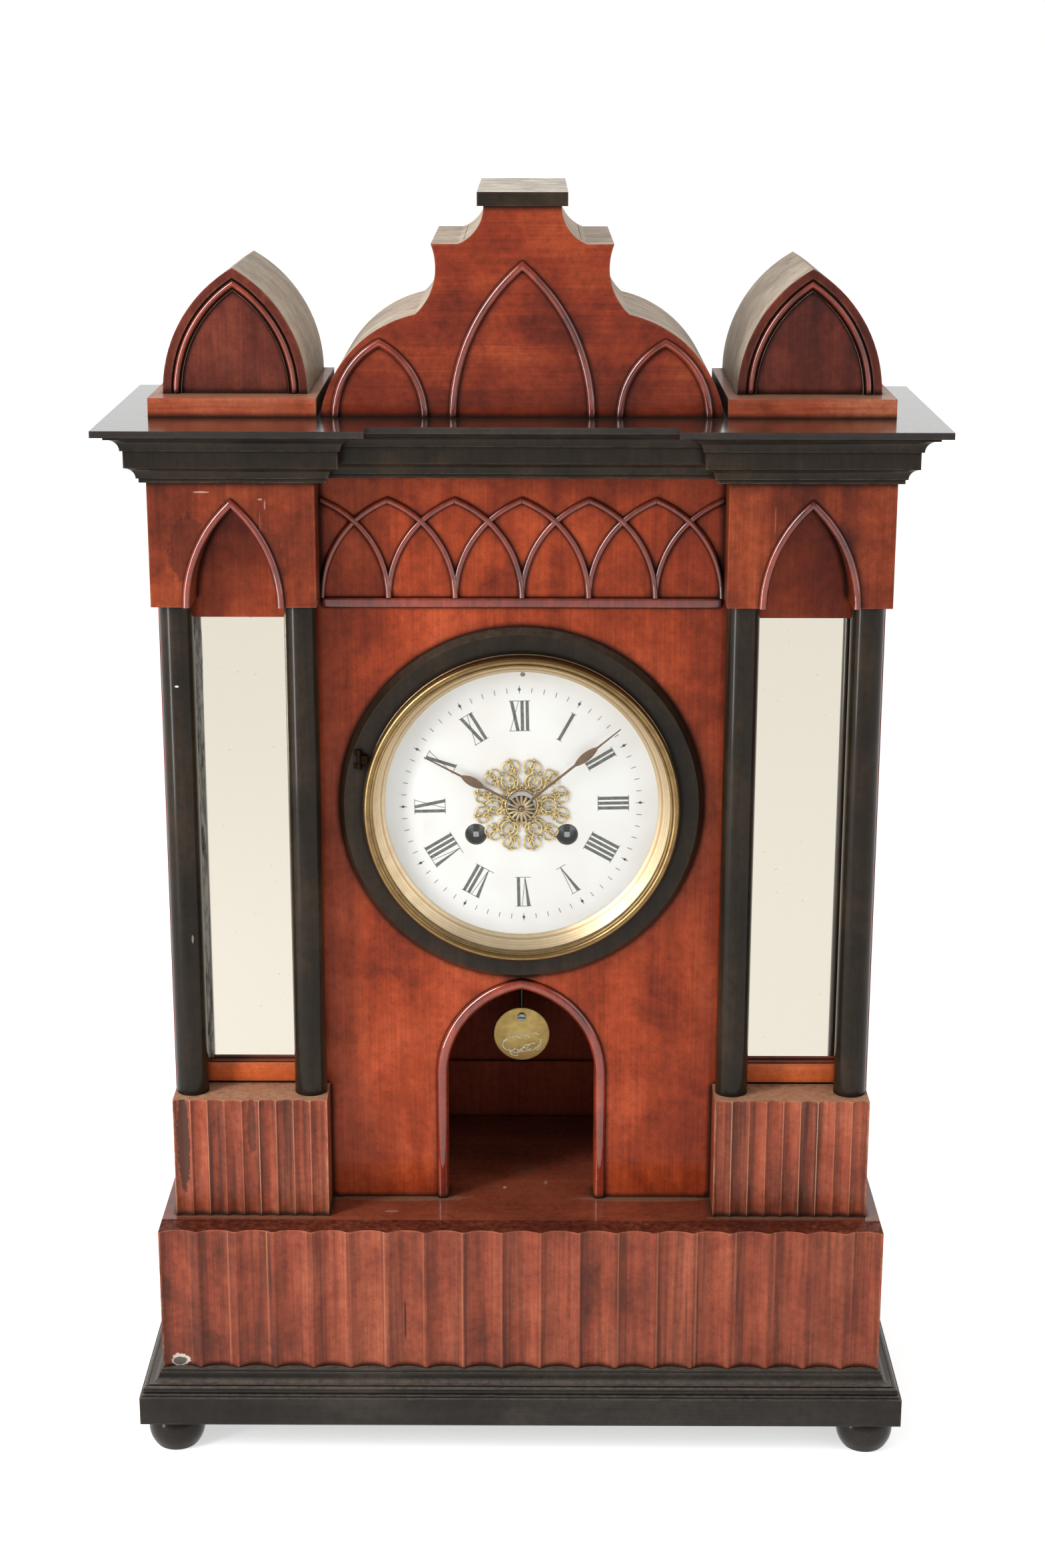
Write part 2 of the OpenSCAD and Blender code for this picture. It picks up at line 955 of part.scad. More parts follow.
// four corners for each tooth: width at the root, width at the tip
function teeth(n, m, add, ded, wr, wt, ph) = [
  for (k = [0:n - 1])
    for (q = [[n * m / 2 - ded * m, -wr], [n * m / 2 + add * m, -wt], [n * m / 2 + add * m, wt], [n * m / 2 - ded * m, wr]])
      [q[0] * cos(ph + (k + q[1]) * 360 / n), q[0] * sin(ph + (k + q[1]) * 360 / n)]];
function wheel_teeth(n, m, ph) = teeth(n, m, 0.75, 1.35, 0.34, 0.13, ph);
function pinion_teeth(n, m, ph) = teeth(n, m, 0.6, 1.55, 0.27, 0.12, ph);

// turn of gear b that puts its gap on a tooth of gear a, with b at the angle th from a
function in_mesh(th, pa, na, nb) = th + 180 - 360 / nb * (0.5 - (th - pa) * na / 360);

// where two circles meet: r1 about p and r2 about q, on the side s
function meet(p, r1, q, r2, s) =
  let (dx = q[0] - p[0], dz = q[1] - p[1], d = sqrt(dx * dx + dz * dz))
  let (a = (r1 * r1 - r2 * r2 + d * d) / (2 * d), h = sqrt(r1 * r1 - a * a))
  [p[0] + a * dx / d - s * h * dz / d, p[1] + a * dz / d + s * h * dx / d];
function dir(p, q) = atan2(q[1] - p[1], q[0] - p[0]);

// teeth and tooth sizes of the two trains
n_great = 80;
n_second = 70;
n_center = 84;
n_third = 77;
n_pin = 64;
n_p12 = 12;
n_p10 = 10;
n_p7 = 7;
m_great = 0.46;
m_second = 0.36;
m_center = 0.3;
m_third = 0.26;
m_pin = 0.28;
n_minute = 36;
n_hour = 40;
m_minute = 0.5;
m_hour = 0.48;
n_escape = 33;
r_escape = 9.3;

C = [0, 0];
B = [wind_x, wind_z];
S1 = [-wind_x, wind_z];
I = meet(C, m_second * (n_second + n_p10) / 2, B, m_great * (n_great + n_p12) / 2, 1);
S2 = [-I[0], I[1]];
T = [0, m_center * (n_center + n_p7) / 2];
E = [0, T[1] + m_third * (n_third + n_p7) / 2];
A = [0, E[1] + 13.03];
S3 = [S2[0] - 11.5, S2[1] + sqrt(pow(m_second * (n_second + n_p10) / 2, 2) - 11.5 * 11.5)];
S4 = [S3[0] + 5.4, S3[1] + sqrt(pow(m_pin * (n_pin + n_p7) / 2, 2) - 5.4 * 5.4)];
M = [3.1, sqrt(144 - 3.1 * 3.1)];
H = [-37.5, 22];

pillar_at = [[19.2, 36.6], [-19.2, 36.6], [40.6, 5.7], [-40.9, -2], [0, -41]];

// arbor between the plates: body radius r, pivots radius p
module arbor(q, r, p) {
  bar(q[0], z_dial + q[1], r, yi + 0.12, yb - 0.12);
  bar(q[0], z_dial + q[1], p, yf + 0.3, yr - 0.3);
}

// crossed-out wheel between two depths behind the front plate
module wheel(q, n, m, ph, l0, l1, hub) {
  rim = n * m / 2 - 1.35 * m - 0.9;
  translate([q[0], 0, z_dial + q[1]])
    slab(yi + l0, yi + l1)
      difference() {
        polygon(wheel_teeth(n, m, ph));
        difference() {
          circle(r = rim);
          circle(r = hub);
          for (i = [0:4])
            rotate([0, 0, 72 * i])
              translate([0, -0.5])
                square([rim + 0.3, 1]);
        }
      }
}

module pinion(q, n, m, ph, l0, l1) {
  translate([q[0], 0, z_dial + q[1]])
    slab(yi + l0, yi + l1)
      polygon(pinion_teeth(n, m, ph));
}

module plate_holes() {
  for (h = [[I, 0.5], [S2, 0.5], [T, 0.3], [E, 0.3], [S3, 0.4], [S4, 0.3]])
    translate(h[0])
      circle(r = h[1] + run);
  for (p = [B, S1])
    translate(p)
      circle(r = 2 + run);
  translate(C)
    circle(r = 1.2 + run);
  translate(A)
    circle(r = 0.5 + run);
  translate(H)
    circle(r = 0.8 + run);
}

module front_plate() {
  color("#c9a24a") {
    translate([0, 0, z_dial])
      slab(yf, yi)
        difference() {
          circle(r = plate_r);
          plate_holes();
        }
    bar(M[0], z_dial + M[1], 0.8, y_dial + dial_t + 0.4, yf);
    for (s = [-1, 1])
      translate([s * wind_x, 0, z_dial + wind_z])
        slab(yf - 1.8, yf)
          polygon([[5.3, 0.8], [9.5, 4], [10.2, 6.6], [8.2, 6.4], [7.6, 4.4], [5.3, 1.9]]);
  }
}

module back_plate() {
  color("#c9a24a")
    translate([0, 0, z_dial])
      slab(yb, yr)
        difference() {
          circle(r = plate_r);
          plate_holes();
        }
}

module pillars() {
  color("#c9a24a")
    for (p = pillar_at) {
      bar(p[0], z_dial + p[1], 2.6, yi, yb);
      turned(p[0], z_dial + p[1])
        polygon([[0, yi + 1], [3.2, yi + 1], [3.2, yi + 3], [0, yi + 3]]);
      turned(p[0], z_dial + p[1])
        polygon([[0, yb - 3], [3.2, yb - 3], [3.2, yb - 1], [0, yb - 1]]);
    }
}

center_ph = 0;
second_ph = in_mesh(dir(C, I), center_ph, n_p10, n_second);
second_p_ph = 0;
great_ph = in_mesh(dir(I, B), second_p_ph, n_p12, n_great);
third_p_ph = in_mesh(dir(C, T), center_ph, n_center, n_p7);
third_ph = 0;
escape_p_ph = in_mesh(dir(T, E), third_ph, n_third, n_p7);
minute_ph = in_mesh(dir(C, M), center_ph, n_p12, n_minute);
minute_p_ph = 0;
hour_ph = in_mesh(dir(M, C), minute_p_ph, n_p10, n_hour);
count_p_ph = 0;
strike_ph = in_mesh(dir(S2, S1), count_p_ph, n_p12, n_great);
count_ph = 0;
pin_p_ph = in_mesh(dir(S2, S3), count_ph, n_second, n_p10);
pin_ph = 0;
fly_ph = in_mesh(dir(S3, S4), pin_ph, n_pin, n_p7);

y_motion = y_dial + dial_t;

module center_arbor() {
  color("#c9a24a") {
    bar(0, z_dial, 0.9, yi + 0.12, yb - 0.12);
    bar(0, z_dial, 1.2, y_minute + 0.2, yr - 0.4);
    pinion(C, n_p10, m_second, center_ph, 3.6, 7.2);
    wheel(C, n_center, m_center, center_ph, 31, 32.4, 2.4);
  }
}

// the tube that carries the minute hand, gripped by the centre arbor and free to slip on it
module cannon_pinion() {
  color("#c9a24a")
    translate([0, 0, z_dial])
      difference() {
        union() {
          slab(y_minute, y_motion + 8)
            circle(r = 1.75);
          slab(y_motion + 5.4, y_motion + 7.6)
            polygon(pinion_teeth(n_p12, m_minute, center_ph));
        }
        bar(0, 0, 1.2 + run, y_minute - 1, y_motion + 9);
      }
}

module hour_wheel() {
  color("#c9a24a")
    translate([0, 0, z_dial]) {
      slab(y_motion + 1.9, y_motion + 3.1)
        difference() {
          polygon(wheel_teeth(n_hour, m_hour, hour_ph));
          circle(r = 1.75 + run);
        }
      slab(y_hour, y_motion + 2.5)
        difference() {
          circle(r = 2.6);
          circle(r = 1.75 + run);
        }
    }
}

module minute_wheel() {
  color("#c9a24a")
    translate([M[0], 0, z_dial + M[1]]) {
      slab(y_motion + 5.9, y_motion + 7.1)
        difference() {
          polygon(wheel_teeth(n_minute, m_minute, minute_ph));
          circle(r = 0.8 + run);
        }
      slab(y_motion + 1.5, y_motion + 4.2)
        difference() {
          polygon(pinion_teeth(n_p10, m_hour, minute_p_ph));
          circle(r = 0.8 + run);
        }
      slab(y_motion + 4, y_motion + 6.5)
        difference() {
          circle(r = 1.6);
          circle(r = 0.8 + run);
        }
    }
}

module barrel(q, ph) {
  color("#c9a24a")
    translate([q[0], 0, z_dial + q[1]]) {
      slab(yi + 26, yi + 28.5)
        difference() {
          polygon(wheel_teeth(n_great, m_great, ph));
          circle(r = 2.2 + run);
        }
      slab(yi + 11, yi + 26.5)
        difference() {
          circle(r = 16.3);
          circle(r = 15.1);
        }
      slab(yi + 10.5, yi + 11.7)
        difference() {
          circle(r = 16.3);
          circle(r = 2.2 + run);
        }
    }
}

module going_barrel() {
  barrel(B, great_ph);
}

module strike_barrel() {
  barrel(S1, strike_ph);
}

// winding arbor with its square, ratchet wheel and spring core
module winding_arbor(q) {
  color("#9a9a9a") {
    translate([q[0], 0, z_dial + q[1]]) {
      slab(y_dial, yf - 1.5)
        square([2.6, 2.6], center = true);
      slab(yf - 1.8, yf - 0.3)
        polygon([for (k = [0:23]) for (j = [0, 1])
          [(j == 0 ? 5 : 4.3) * cos(15 * k + j * 3), (j == 0 ? 5 : 4.3) * sin(15 * k + j * 3)]]);
      turned(0, 0)
        polygon([[0, yf - 2], [2, yf - 2], [2, yi + 0.15], [2.2, yi + 0.15], [2.2, yi + 14],
          [5, yi + 14], [5, yi + 24], [2.2, yi + 24], [2.2, yb - 0.15], [2, yb - 0.15], [2, yr - 0.3], [0, yr - 0.3]]);
    }
  }
}

module winding_arbor_going() {
  winding_arbor(B);
}

module winding_arbor_strike() {
  winding_arbor(S1);
}

module second_wheel() {
  color("#c9a24a") {
    arbor(I, 0.9, 0.5);
    pinion(I, n_p12, m_great, second_p_ph, 25.4, 29.1);
    wheel(I, n_second, m_second, second_ph, 5, 6.4, 2.4);
  }
}

module third_wheel() {
  color("#c9a24a") {
    arbor(T, 0.5, 0.3);
    pinion(T, n_p7, m_center, third_p_ph, 30.4, 33);
    wheel(T, n_third, m_third, third_ph, 12, 13, 2);
  }
}

module escape_wheel() {
  color("#c9a24a") {
    arbor(E, 0.45, 0.3);
    pinion(E, n_p7, m_third, escape_p_ph, 11.4, 13.6);
    translate([0, 0, z_dial + E[1]])
      slab(yi + 22, yi + 22.8)
        difference() {
          polygon([for (k = [0:n_escape - 1]) for (j = [0, 1, 2])
            let (r = j == 1 ? r_escape : 7.9, a = 90 + (k + [0.05, 0.42, 0.5][j]) * 360 / n_escape)
            [r * cos(a), r * sin(a)]]);
          difference() {
            circle(r = 6.9);
            circle(r = 1.8);
            for (i = [0:4])
              rotate([0, 0, 72 * i])
                translate([0, -0.4])
                  square([7.2, 0.8]);
          }
        }
  }
}

swing_gap = 0.34;
y_pend = yr + 6.5;

module anchor() {
  ha = 41;
  nx = (r_escape + swing_gap) * sin(ha);
  nz = E[1] + (r_escape + swing_gap) * cos(ha) - A[1];
  color("#9a9a9a")
    translate([0, 0, z_dial + A[1]]) {
      bar(0, 0, 0.8, yi + 0.12, yb - 0.12);
      bar(0, 0, 0.5, yf + 0.3, yr + 0.1);
      bar(0, 0, 0.5, yr, yr + 3);
      slab(yi + 21.6, yi + 23.2)
        difference() {
          union() {
            circle(r = 1.9);
            for (s = [-1, 1])
              polygon([[s * -0.6, 1.9], [s * (nx + 1.3), nz + 0.9], [s * nx, nz], [s * 0.8, -1.6]]);
          }
          translate([0, 0])
            circle(r = 0.3);
        }
      slab(yr + 1.6, yr + 2.8)
        difference() {
          union() {
            circle(r = 2);
            translate([-0.8, -34])
              square([1.6, 34]);
          }
          circle(r = 0.4);
        }
      slab(yr + 1.6, y_pend + 2)
        for (s = [-1, 1])
          translate([s * 1.65 - 0.6, -36])
            square([1.2, 3]);
      slab(yr + 1.6, yr + 2.8)
        translate([-2.25, -36])
          square([4.5, 3]);
    }
}

module suspension_cock() {
  color("#c9a24a")
    translate([0, 0, z_dial + A[1]])
      difference() {
        union() {
          board(-9, 9, yr, yr + 1.2, 4.2, 8);
          board(-3.5, 3.5, yr, y_pend + 2.5, 4.2, 8);
        }
        board(-0.6, 0.6, y_pend - 1.5, y_pend + 3, 3, 9);
      }
}

module pendulum_rod() {
  l = pendulum_l;
  color("#b9b2a4")
    translate([0, y_pend, z_dial + A[1]]) {
      board(-0.15, 0.15, -1, 1, -9, 7);
      translate([-2, -1.2, -14])
        cube([4, 2.4, 5.2]);
      translate([0, 0, -l + bob_d / 2 - 1])
        cylinder(r = 1, h = l - bob_d / 2 - 12);
    }
}

module pendulum_bob() {
  r = bob_d / 2;
  color("#b89355")
    difference() {
      translate([0, y_pend, z_dial + A[1] - pendulum_l])
        difference() {
          turned(0, 0)
            polygon([[0, -3.6], [r * 0.45, -3.3], [r * 0.8, -2.2], [r, -0.9], [r, 0.9],
              [r * 0.8, 2.2], [r * 0.45, 3.3], [0, 3.6]]);
          board(-2.2, 2.2, -4, -0.5, r * 0.44, r + 1);
        }
      translate([0, y_pend, z_dial + A[1] - pendulum_l + r * 0.4])
        cylinder(r = 1.0, h = r);
      translate([0, y_pend, z_dial + A[1] - pendulum_l - 1])
        rotate([90, 0, 0])
          cylinder(r = 0.7, h = 5);
    }
}

module rating_screw() {
  r = bob_d / 2;
  color("#8f8f8f")
    translate([0, y_pend - 1.9, z_dial + A[1] - pendulum_l + r * 0.66])
      rotate([90, 0, 0])
        difference() {
          union() {
            cylinder(r = 1.95, h = 1.5);
            translate([0, 0, -0.75])
              cylinder(r = 0.7, h = 1);
          }
          translate([-2.5, -0.3, 0.9])
            cube([5, 0.6, 2]);
        }
}

// ---- striking ----

module count_arbor() {
  color("#c9a24a") {
    arbor(S2, 0.9, 0.5);
    pinion(S2, n_p12, m_great, count_p_ph, 25.4, 29.1);
    wheel(S2, n_second, m_second, count_ph, 7.6, 9, 2.4);
    bar(S2[0], z_dial + S2[1], 0.5, yr - 0.4, yr + 2);
    translate([S2[0], 0, z_dial + S2[1]])
      slab(yr + 0.6, yr + 1.2)
        difference() {
          circle(r = 9.6);
          circle(r = 0.4);
          for (i = [0:10])
            rotate([0, 0, [0, 8, 20, 36, 56, 80, 108, 140, 178, 222, 270][i]])
              translate([9.6, 0])
                circle(r = 1);
        }
  }
}

module pin_wheel() {
  color("#c9a24a") {
    arbor(S3, 0.7, 0.4);
    pinion(S3, n_p10, m_second, pin_p_ph, 6.4, 10);
    wheel(S3, n_pin, m_pin, pin_ph, 14, 15.2, 2.2);
    for (i = [0:7])
      bar(S3[0] + 7.4 * cos(45 * i + 10), z_dial + S3[1] + 7.4 * sin(45 * i + 10), 0.45, yi + 15.1, yi + 17.6);
  }
}

module fly() {
  color("#c9a24a") {
    arbor(S4, 0.5, 0.3);
    pinion(S4, n_p7, m_pin, fly_ph, 13.4, 15.8);
    translate([S4[0], 0, z_dial + S4[1]])
      slab(yi + 3, yi + 12)
        rotate([0, 0, 35])
          square([9, 0.7], center = true);
  }
}

module hammer() {
  color("#9a9a9a") {
    bar(H[0], z_dial + H[1], 0.8, yf + 0.3, yr + 18);
    translate([H[0], 0, z_dial + H[1]]) {
      slab(yi + 16, yi + 17.4)
        difference() {
          union() {
            circle(r = 1.8);
            rotate([0, 0, dir(H, S3) - 25])
              translate([0, -0.6])
                square([6.4, 1.2]);
          }
          circle(r = 0.5);
        }
      slab(yr + 16, yr + 18)
        union() {
          circle(r = 2);
          translate([-1, -26])
            square([2, 26]);
        }
      turned(-0.2, -26)
        polygon([[0, yr + 13], [2.6, yr + 13], [2.6, yr + 20], [0, yr + 20]]);
    }
  }
}

y_bell = yr + 14;
bell_z = z_dial - 4;

module bell() {
  r = 34;
  color("#c9a24a")
    turned(0, bell_z)
      polygon([[r, y_bell], [r - 1, y_bell + 6], [r - 5, y_bell + 12], [r - 13, y_bell + 15.5], [1.5, y_bell + 16.5],
        [1.5, y_bell + 14.5], [r - 13.6, y_bell + 13.5], [r - 6.6, y_bell + 10.4], [r - 3, y_bell + 5.5],
        [r - 2, y_bell]]);
}

module bell_stand() {
  y = y_bell + 16.5;
  color("#9a9a9a") {
    board(11, 17, yr, y + 2, z_dial - 41, z_dial - 39);
    board(10, 18, yr, yr + 2, z_dial - 41, z_dial - 33);
    slab(y, y + 2)
      difference() {
        union() {
          translate([0, bell_z])
            circle(r = 4);
          polygon([[11, z_dial - 41], [17, z_dial - 41], [3.6, bell_z], [-3.6, bell_z]]);
        }
        translate([0, bell_z])
          circle(r = 1.5);
      }
    bar(0, bell_z, 1.5, y - 4.5, y + 3);
    bar(0, bell_z, 2.8, y - 3.4, y - 2);
    bar(0, bell_z, 2.8, y + 2, y + 4);
  }
}

bun_feet();
plinth();
base_front();
base_carcass();
pedestals();
columns();
arch_blocks();
arch_beads();
case_front();
mirrors();
niche_rails();
case_sides();
back_frame();
back_door();
door_fittings();
door_button();
dial_surround();
frieze_lattice();
cornice();
cornice_top();
tower_boards();
towers();
crest();
crest_cap();
dial_pan();
movement_bars();
bar_screws();
dial();
rosette();
front_plate();
back_plate();
pillars();
bezel();
bezel_glass();
bezel_hinge();
hour_hand();
hour_wheel();
minute_hand();
center_boss();
cannon_pinion();
center_arbor();
minute_wheel();
going_barrel();
strike_barrel();
winding_arbor_going();
winding_arbor_strike();
second_wheel();
third_wheel();
escape_wheel();
anchor();
suspension_cock();
pendulum_rod();
pendulum_bob();
rating_screw();
count_arbor();
pin_wheel();
fly();
hammer();
bell();
bell_stand();
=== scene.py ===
"""Visual model of a wooden mantel clock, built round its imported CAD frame."""

from __future__ import annotations

import logging
import math
from contextlib import contextmanager
from dataclasses import dataclass, field
from enum import Enum
from typing import Iterator, Sequence

import bpy
from mathutils import Matrix, Vector

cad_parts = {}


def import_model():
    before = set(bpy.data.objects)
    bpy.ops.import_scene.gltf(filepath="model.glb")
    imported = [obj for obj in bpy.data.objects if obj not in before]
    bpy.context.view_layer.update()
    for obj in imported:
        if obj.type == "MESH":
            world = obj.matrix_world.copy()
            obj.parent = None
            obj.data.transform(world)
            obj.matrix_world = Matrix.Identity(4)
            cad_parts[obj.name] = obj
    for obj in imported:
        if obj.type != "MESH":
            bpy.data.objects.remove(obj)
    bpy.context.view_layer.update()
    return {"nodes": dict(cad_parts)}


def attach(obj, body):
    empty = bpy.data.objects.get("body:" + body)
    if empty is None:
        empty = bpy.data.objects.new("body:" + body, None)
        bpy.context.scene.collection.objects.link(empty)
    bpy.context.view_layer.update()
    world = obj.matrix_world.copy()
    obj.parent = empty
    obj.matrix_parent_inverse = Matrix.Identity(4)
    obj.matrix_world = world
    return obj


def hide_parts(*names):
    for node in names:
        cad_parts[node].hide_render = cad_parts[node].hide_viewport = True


LOG = logging.getLogger("clock")
MM = 0.001
METRE = 1000

Colour = tuple[float, float, float, float]
Spot = tuple[float, float]
Point = tuple[float, float, float]
Piece = bpy.types.Object
Tree = bpy.types.NodeTree
Socket = bpy.types.NodeSocket


# Shared helpers


def linear(colour: str) -> Colour:
    """Turn an sRGB hex colour into a linear colour.

    Args:
        colour: six hex digits with a leading hash.

    Returns:
        The linear red, green, blue and an alpha of one.
    """
    parts = [int(colour[i : i + 2], 16) / 255 for i in (1, 3, 5)]
    rgb = [c / 12.92 if c <= 0.04045 else ((c + 0.055) / 1.055) ** 2.4 for c in parts]
    return (rgb[0], rgb[1], rgb[2], 1.0)


def feed(tree: Tree, made: bpy.types.Node, inputs: dict | Sequence) -> None:
    """Link sockets to a node's inputs and set the values of its other inputs.

    Args:
        tree: the node tree.
        made: the node.
        inputs: sockets and values by input name or index, or in the order of the inputs.
    """
    for key, value in inputs.items() if isinstance(inputs, dict) else enumerate(inputs):
        if isinstance(value, Socket):
            tree.links.new(value, made.inputs[key])
        else:
            made.inputs[key].default_value = value


def node(
    tree: Tree,
    kind: str,
    inputs: dict | Sequence = (),
    out: int | str = 0,
    stops: Sequence = (),
    **settings: object,
) -> Socket:
    """Add one shader node with its settings, values and links.

    Args:
        tree: the node tree that takes it.
        kind: the node's type name, after its ShaderNode.
        inputs: sockets to link or values to set, as feed takes them.
        out: the wanted output, by name or index.
        stops: position and colour of each stop of a colour ramp, a bare number for a grey.
        settings: attributes of the node.

    Returns:
        The wanted output.
    """
    made = tree.nodes.new("ShaderNode" + kind)
    for key, value in settings.items():
        setattr(made, key, value)
    for i, (at, colour) in enumerate(stops):
        stop = made.color_ramp.elements[i] if i < 2 else made.color_ramp.elements.new(at)
        stop.position = at
        stop.color = colour if isinstance(colour, tuple) else (colour, colour, colour, 1.0)
    feed(tree, made, inputs)
    return made.outputs[out]


def coated(tree: Tree, colour: Socket | Colour, *coats: tuple) -> Socket:
    """Lay coats over a colour, first to last.

    Args:
        tree: the node tree.
        colour: what lies under them.
        coats: the mask and the colour of each, and its blend unless it covers.

    Returns:
        The colour that shows.
    """
    for mask, stain, *blend in coats:
        how = blend[0] if blend else "MIX"
        colour = node(tree, "Mix", {0: mask, 6: colour, 7: stain}, 2, data_type="RGBA", blend_type=how)
    return colour


def select_only(*objs: Piece) -> None:
    """Select some objects and nothing else, the first one active."""
    bpy.ops.object.select_all(action="DESELECT")
    for obj in objs:
        obj.select_set(True)
    bpy.context.view_layer.objects.active = objs[0]


@contextmanager
def editing(obj: Piece) -> Iterator[None]:
    """Open an object's mesh with everything selected, and close it again.

    Args:
        obj: the object to edit.
    """
    select_only(obj)
    bpy.ops.object.mode_set(mode="EDIT")
    bpy.ops.mesh.select_all(action="SELECT")
    yield
    bpy.ops.object.mode_set(mode="OBJECT")


def merge_doubles() -> None:
    """Merge the points that fall together in the mesh being edited."""
    bpy.ops.mesh.select_all(action="SELECT")
    bpy.ops.mesh.remove_doubles(threshold=MM * MM)


def close_mesh() -> None:
    """Merge the doubles of the mesh being edited and turn its faces outward."""
    merge_doubles()
    bpy.ops.mesh.normals_make_consistent(inside=False)


def cut_off(at: Point, beyond: Point, fill: bool = True) -> None:
    """Cut away the part of the mesh being edited that lies beyond a plane.

    Args:
        at: a point of the plane in millimetres.
        beyond: the way to the part that goes.
        fill: whether the cut is closed with a face.
    """
    bpy.ops.mesh.select_all(action="SELECT")
    bpy.ops.mesh.bisect(plane_co=Vector(at) * MM, plane_no=beyond, clear_outer=True, use_fill=fill)


def spin(degrees: float, steps: int, centre_x: float = 0.0) -> None:
    """Spin what is selected in the plane of the front, about a centre in millimetres."""
    centre = (centre_x * MM, 0, 0)
    bpy.ops.mesh.spin(steps=steps, angle=math.radians(degrees), center=centre, axis=(0, 1, 0))


def placed(name: str) -> Piece:
    """Name the primitive just added and put its place into its mesh.

    Args:
        name: the piece's name.

    Returns:
        The object, at the origin.
    """
    obj = bpy.context.object
    obj.name = name
    obj.data.name = name
    select_only(obj)
    bpy.ops.object.transform_apply(location=True, rotation=True, scale=True)
    return obj


def disc(name: str, sides: int, radius: float, thick: float) -> Piece:
    """Turn a disc that faces the front.

    Args:
        name: the piece's name.
        sides: how many sides its edge has.
        radius: its radius in millimetres.
        thick: its thickness in millimetres.

    Returns:
        The disc about the origin.
    """
    flat = (math.pi / 2, 0, 0)
    bpy.ops.mesh.primitive_cylinder_add(vertices=sides, radius=radius * MM, depth=thick * MM, rotation=flat)
    return placed(name)


def copied(obj: Piece, name: str, matrix: Matrix) -> Piece:
    """Copy a piece with its own mesh.

    Args:
        obj: the piece to copy.
        name: the copy's name.
        matrix: where the copy's mesh goes, from the first one's.

    Returns:
        The copy, at the origin.
    """
    made = bpy.data.objects.new(name, obj.data.copy())
    made.data.name = name
    made.data.transform(matrix)
    bpy.context.scene.collection.objects.link(made)
    if matrix.determinant() < 0:
        made.data.flip_normals()
    return made


def joined(name: str, parts: Sequence[Piece]) -> Piece:
    """Join pieces of one kind into one object.

    Args:
        name: the joined piece's name.
        parts: the pieces, which stop being objects of their own.

    Returns:
        The joined object.
    """
    select_only(*parts)
    bpy.ops.object.join()
    obj = bpy.context.object
    obj.name = name
    obj.data.name = name
    return obj


def modified(obj: Piece, kind: str, **settings: object) -> Piece:
    """Add a modifier and apply it.

    Args:
        obj: the object.
        kind: the modifier's type name.
        settings: attributes of the modifier.

    Returns:
        The same object.
    """
    select_only(obj)
    made = obj.modifiers.new(kind.title(), kind)
    for key, value in settings.items():
        setattr(made, key, value)
    bpy.ops.object.modifier_apply(modifier=made.name)
    return obj


def smooth(obj: Piece, degrees: float = 40) -> Piece:
    """Shade a piece smooth where its faces meet at less than an angle."""
    select_only(obj)
    bpy.ops.object.shade_smooth_by_angle(angle=math.radians(degrees))
    return obj


def dressed(
    obj: Piece, material: bpy.types.Material, body: str = "case", stands_for: Sequence[str] = ()
) -> Piece:
    """Give a piece its finish, its body and the nodes that it stands for.

    Args:
        obj: the piece.
        material: its finish.
        body: the CAD body that it moves with.
        stands_for: the CAD nodes that it replaces.

    Returns:
        The same object.
    """
    obj.data.materials.clear()
    obj.data.materials.append(material)
    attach(obj, body)
    if stands_for:
        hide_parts(*stands_for)
    return obj


def shift(x: float = 0, y: float = 0, z: float = 0) -> Matrix:
    """A move in millimetres."""
    return Matrix.Translation(Vector((x, y, z)) * MM)


def about_y(degrees: float) -> Matrix:
    """A turn in the plane of the front, counterclockwise as the camera sees it."""
    return Matrix.Rotation(math.radians(-degrees), 4, "Y")


# Finishes


@dataclass(frozen=True)
class Finish:
    """A finish of the clock, which makes one material."""

    name: str

    def build(self) -> bpy.types.Material:
        """Make the finish's material.

        Returns:
            The material.
        """
        mat = bpy.data.materials.new(self.name)
        mat.use_nodes = True
        tree = mat.node_tree
        surface = self.surface(tree, node(tree, "TexCoord", out="Object"))
        feed(tree, tree.nodes["Principled BSDF"], surface)
        return mat

    def surface(self, tree: Tree, place: Socket) -> dict:
        """Draw the finish, which every kind does in its own way.

        Args:
            tree: the material's node tree.
            place: object coordinates.

        Returns:
            The shader's inputs by name.
        """
        raise NotImplementedError


class Grain(Enum):
    """The axis along which a board's fibres run."""

    UP = (0.0, 0.0, 1.0)
    ACROSS = (1.0, 0.0, 0.0)


@dataclass(frozen=True)
class Scar:
    """One mark in a finish: its middle and half sizes in millimetres, its colour and how ragged it is."""

    at: Point
    half: Point
    colour: str
    amount: float = 0.85
    ragged: float = 0.6

    def mask(self, tree: Tree, place: Socket, rims: Socket) -> Socket:
        """Mask the mark, with a broken rim.

        Args:
            tree: the finish's node tree.
            place: object coordinates.
            rims: the pattern that breaks the rim.

        Returns:
            The mask.
        """
        offset = node(tree, "VectorMath", (place, Vector(self.at) * MM), operation="SUBTRACT")
        scale = tuple(self.ragged / (h * MM) for h in self.half)
        ball = node(tree, "VectorMath", (offset, scale), operation="MULTIPLY")
        away = node(tree, "VectorMath", (ball,), "Value", operation="LENGTH")
        broken = node(tree, "Math", (rims, self.ragged, away), operation="MULTIPLY_ADD")
        return node(tree, "ValToRGB", (broken,), stops=((0.0, self.amount), (0.86, self.amount), (0.92, 0)))


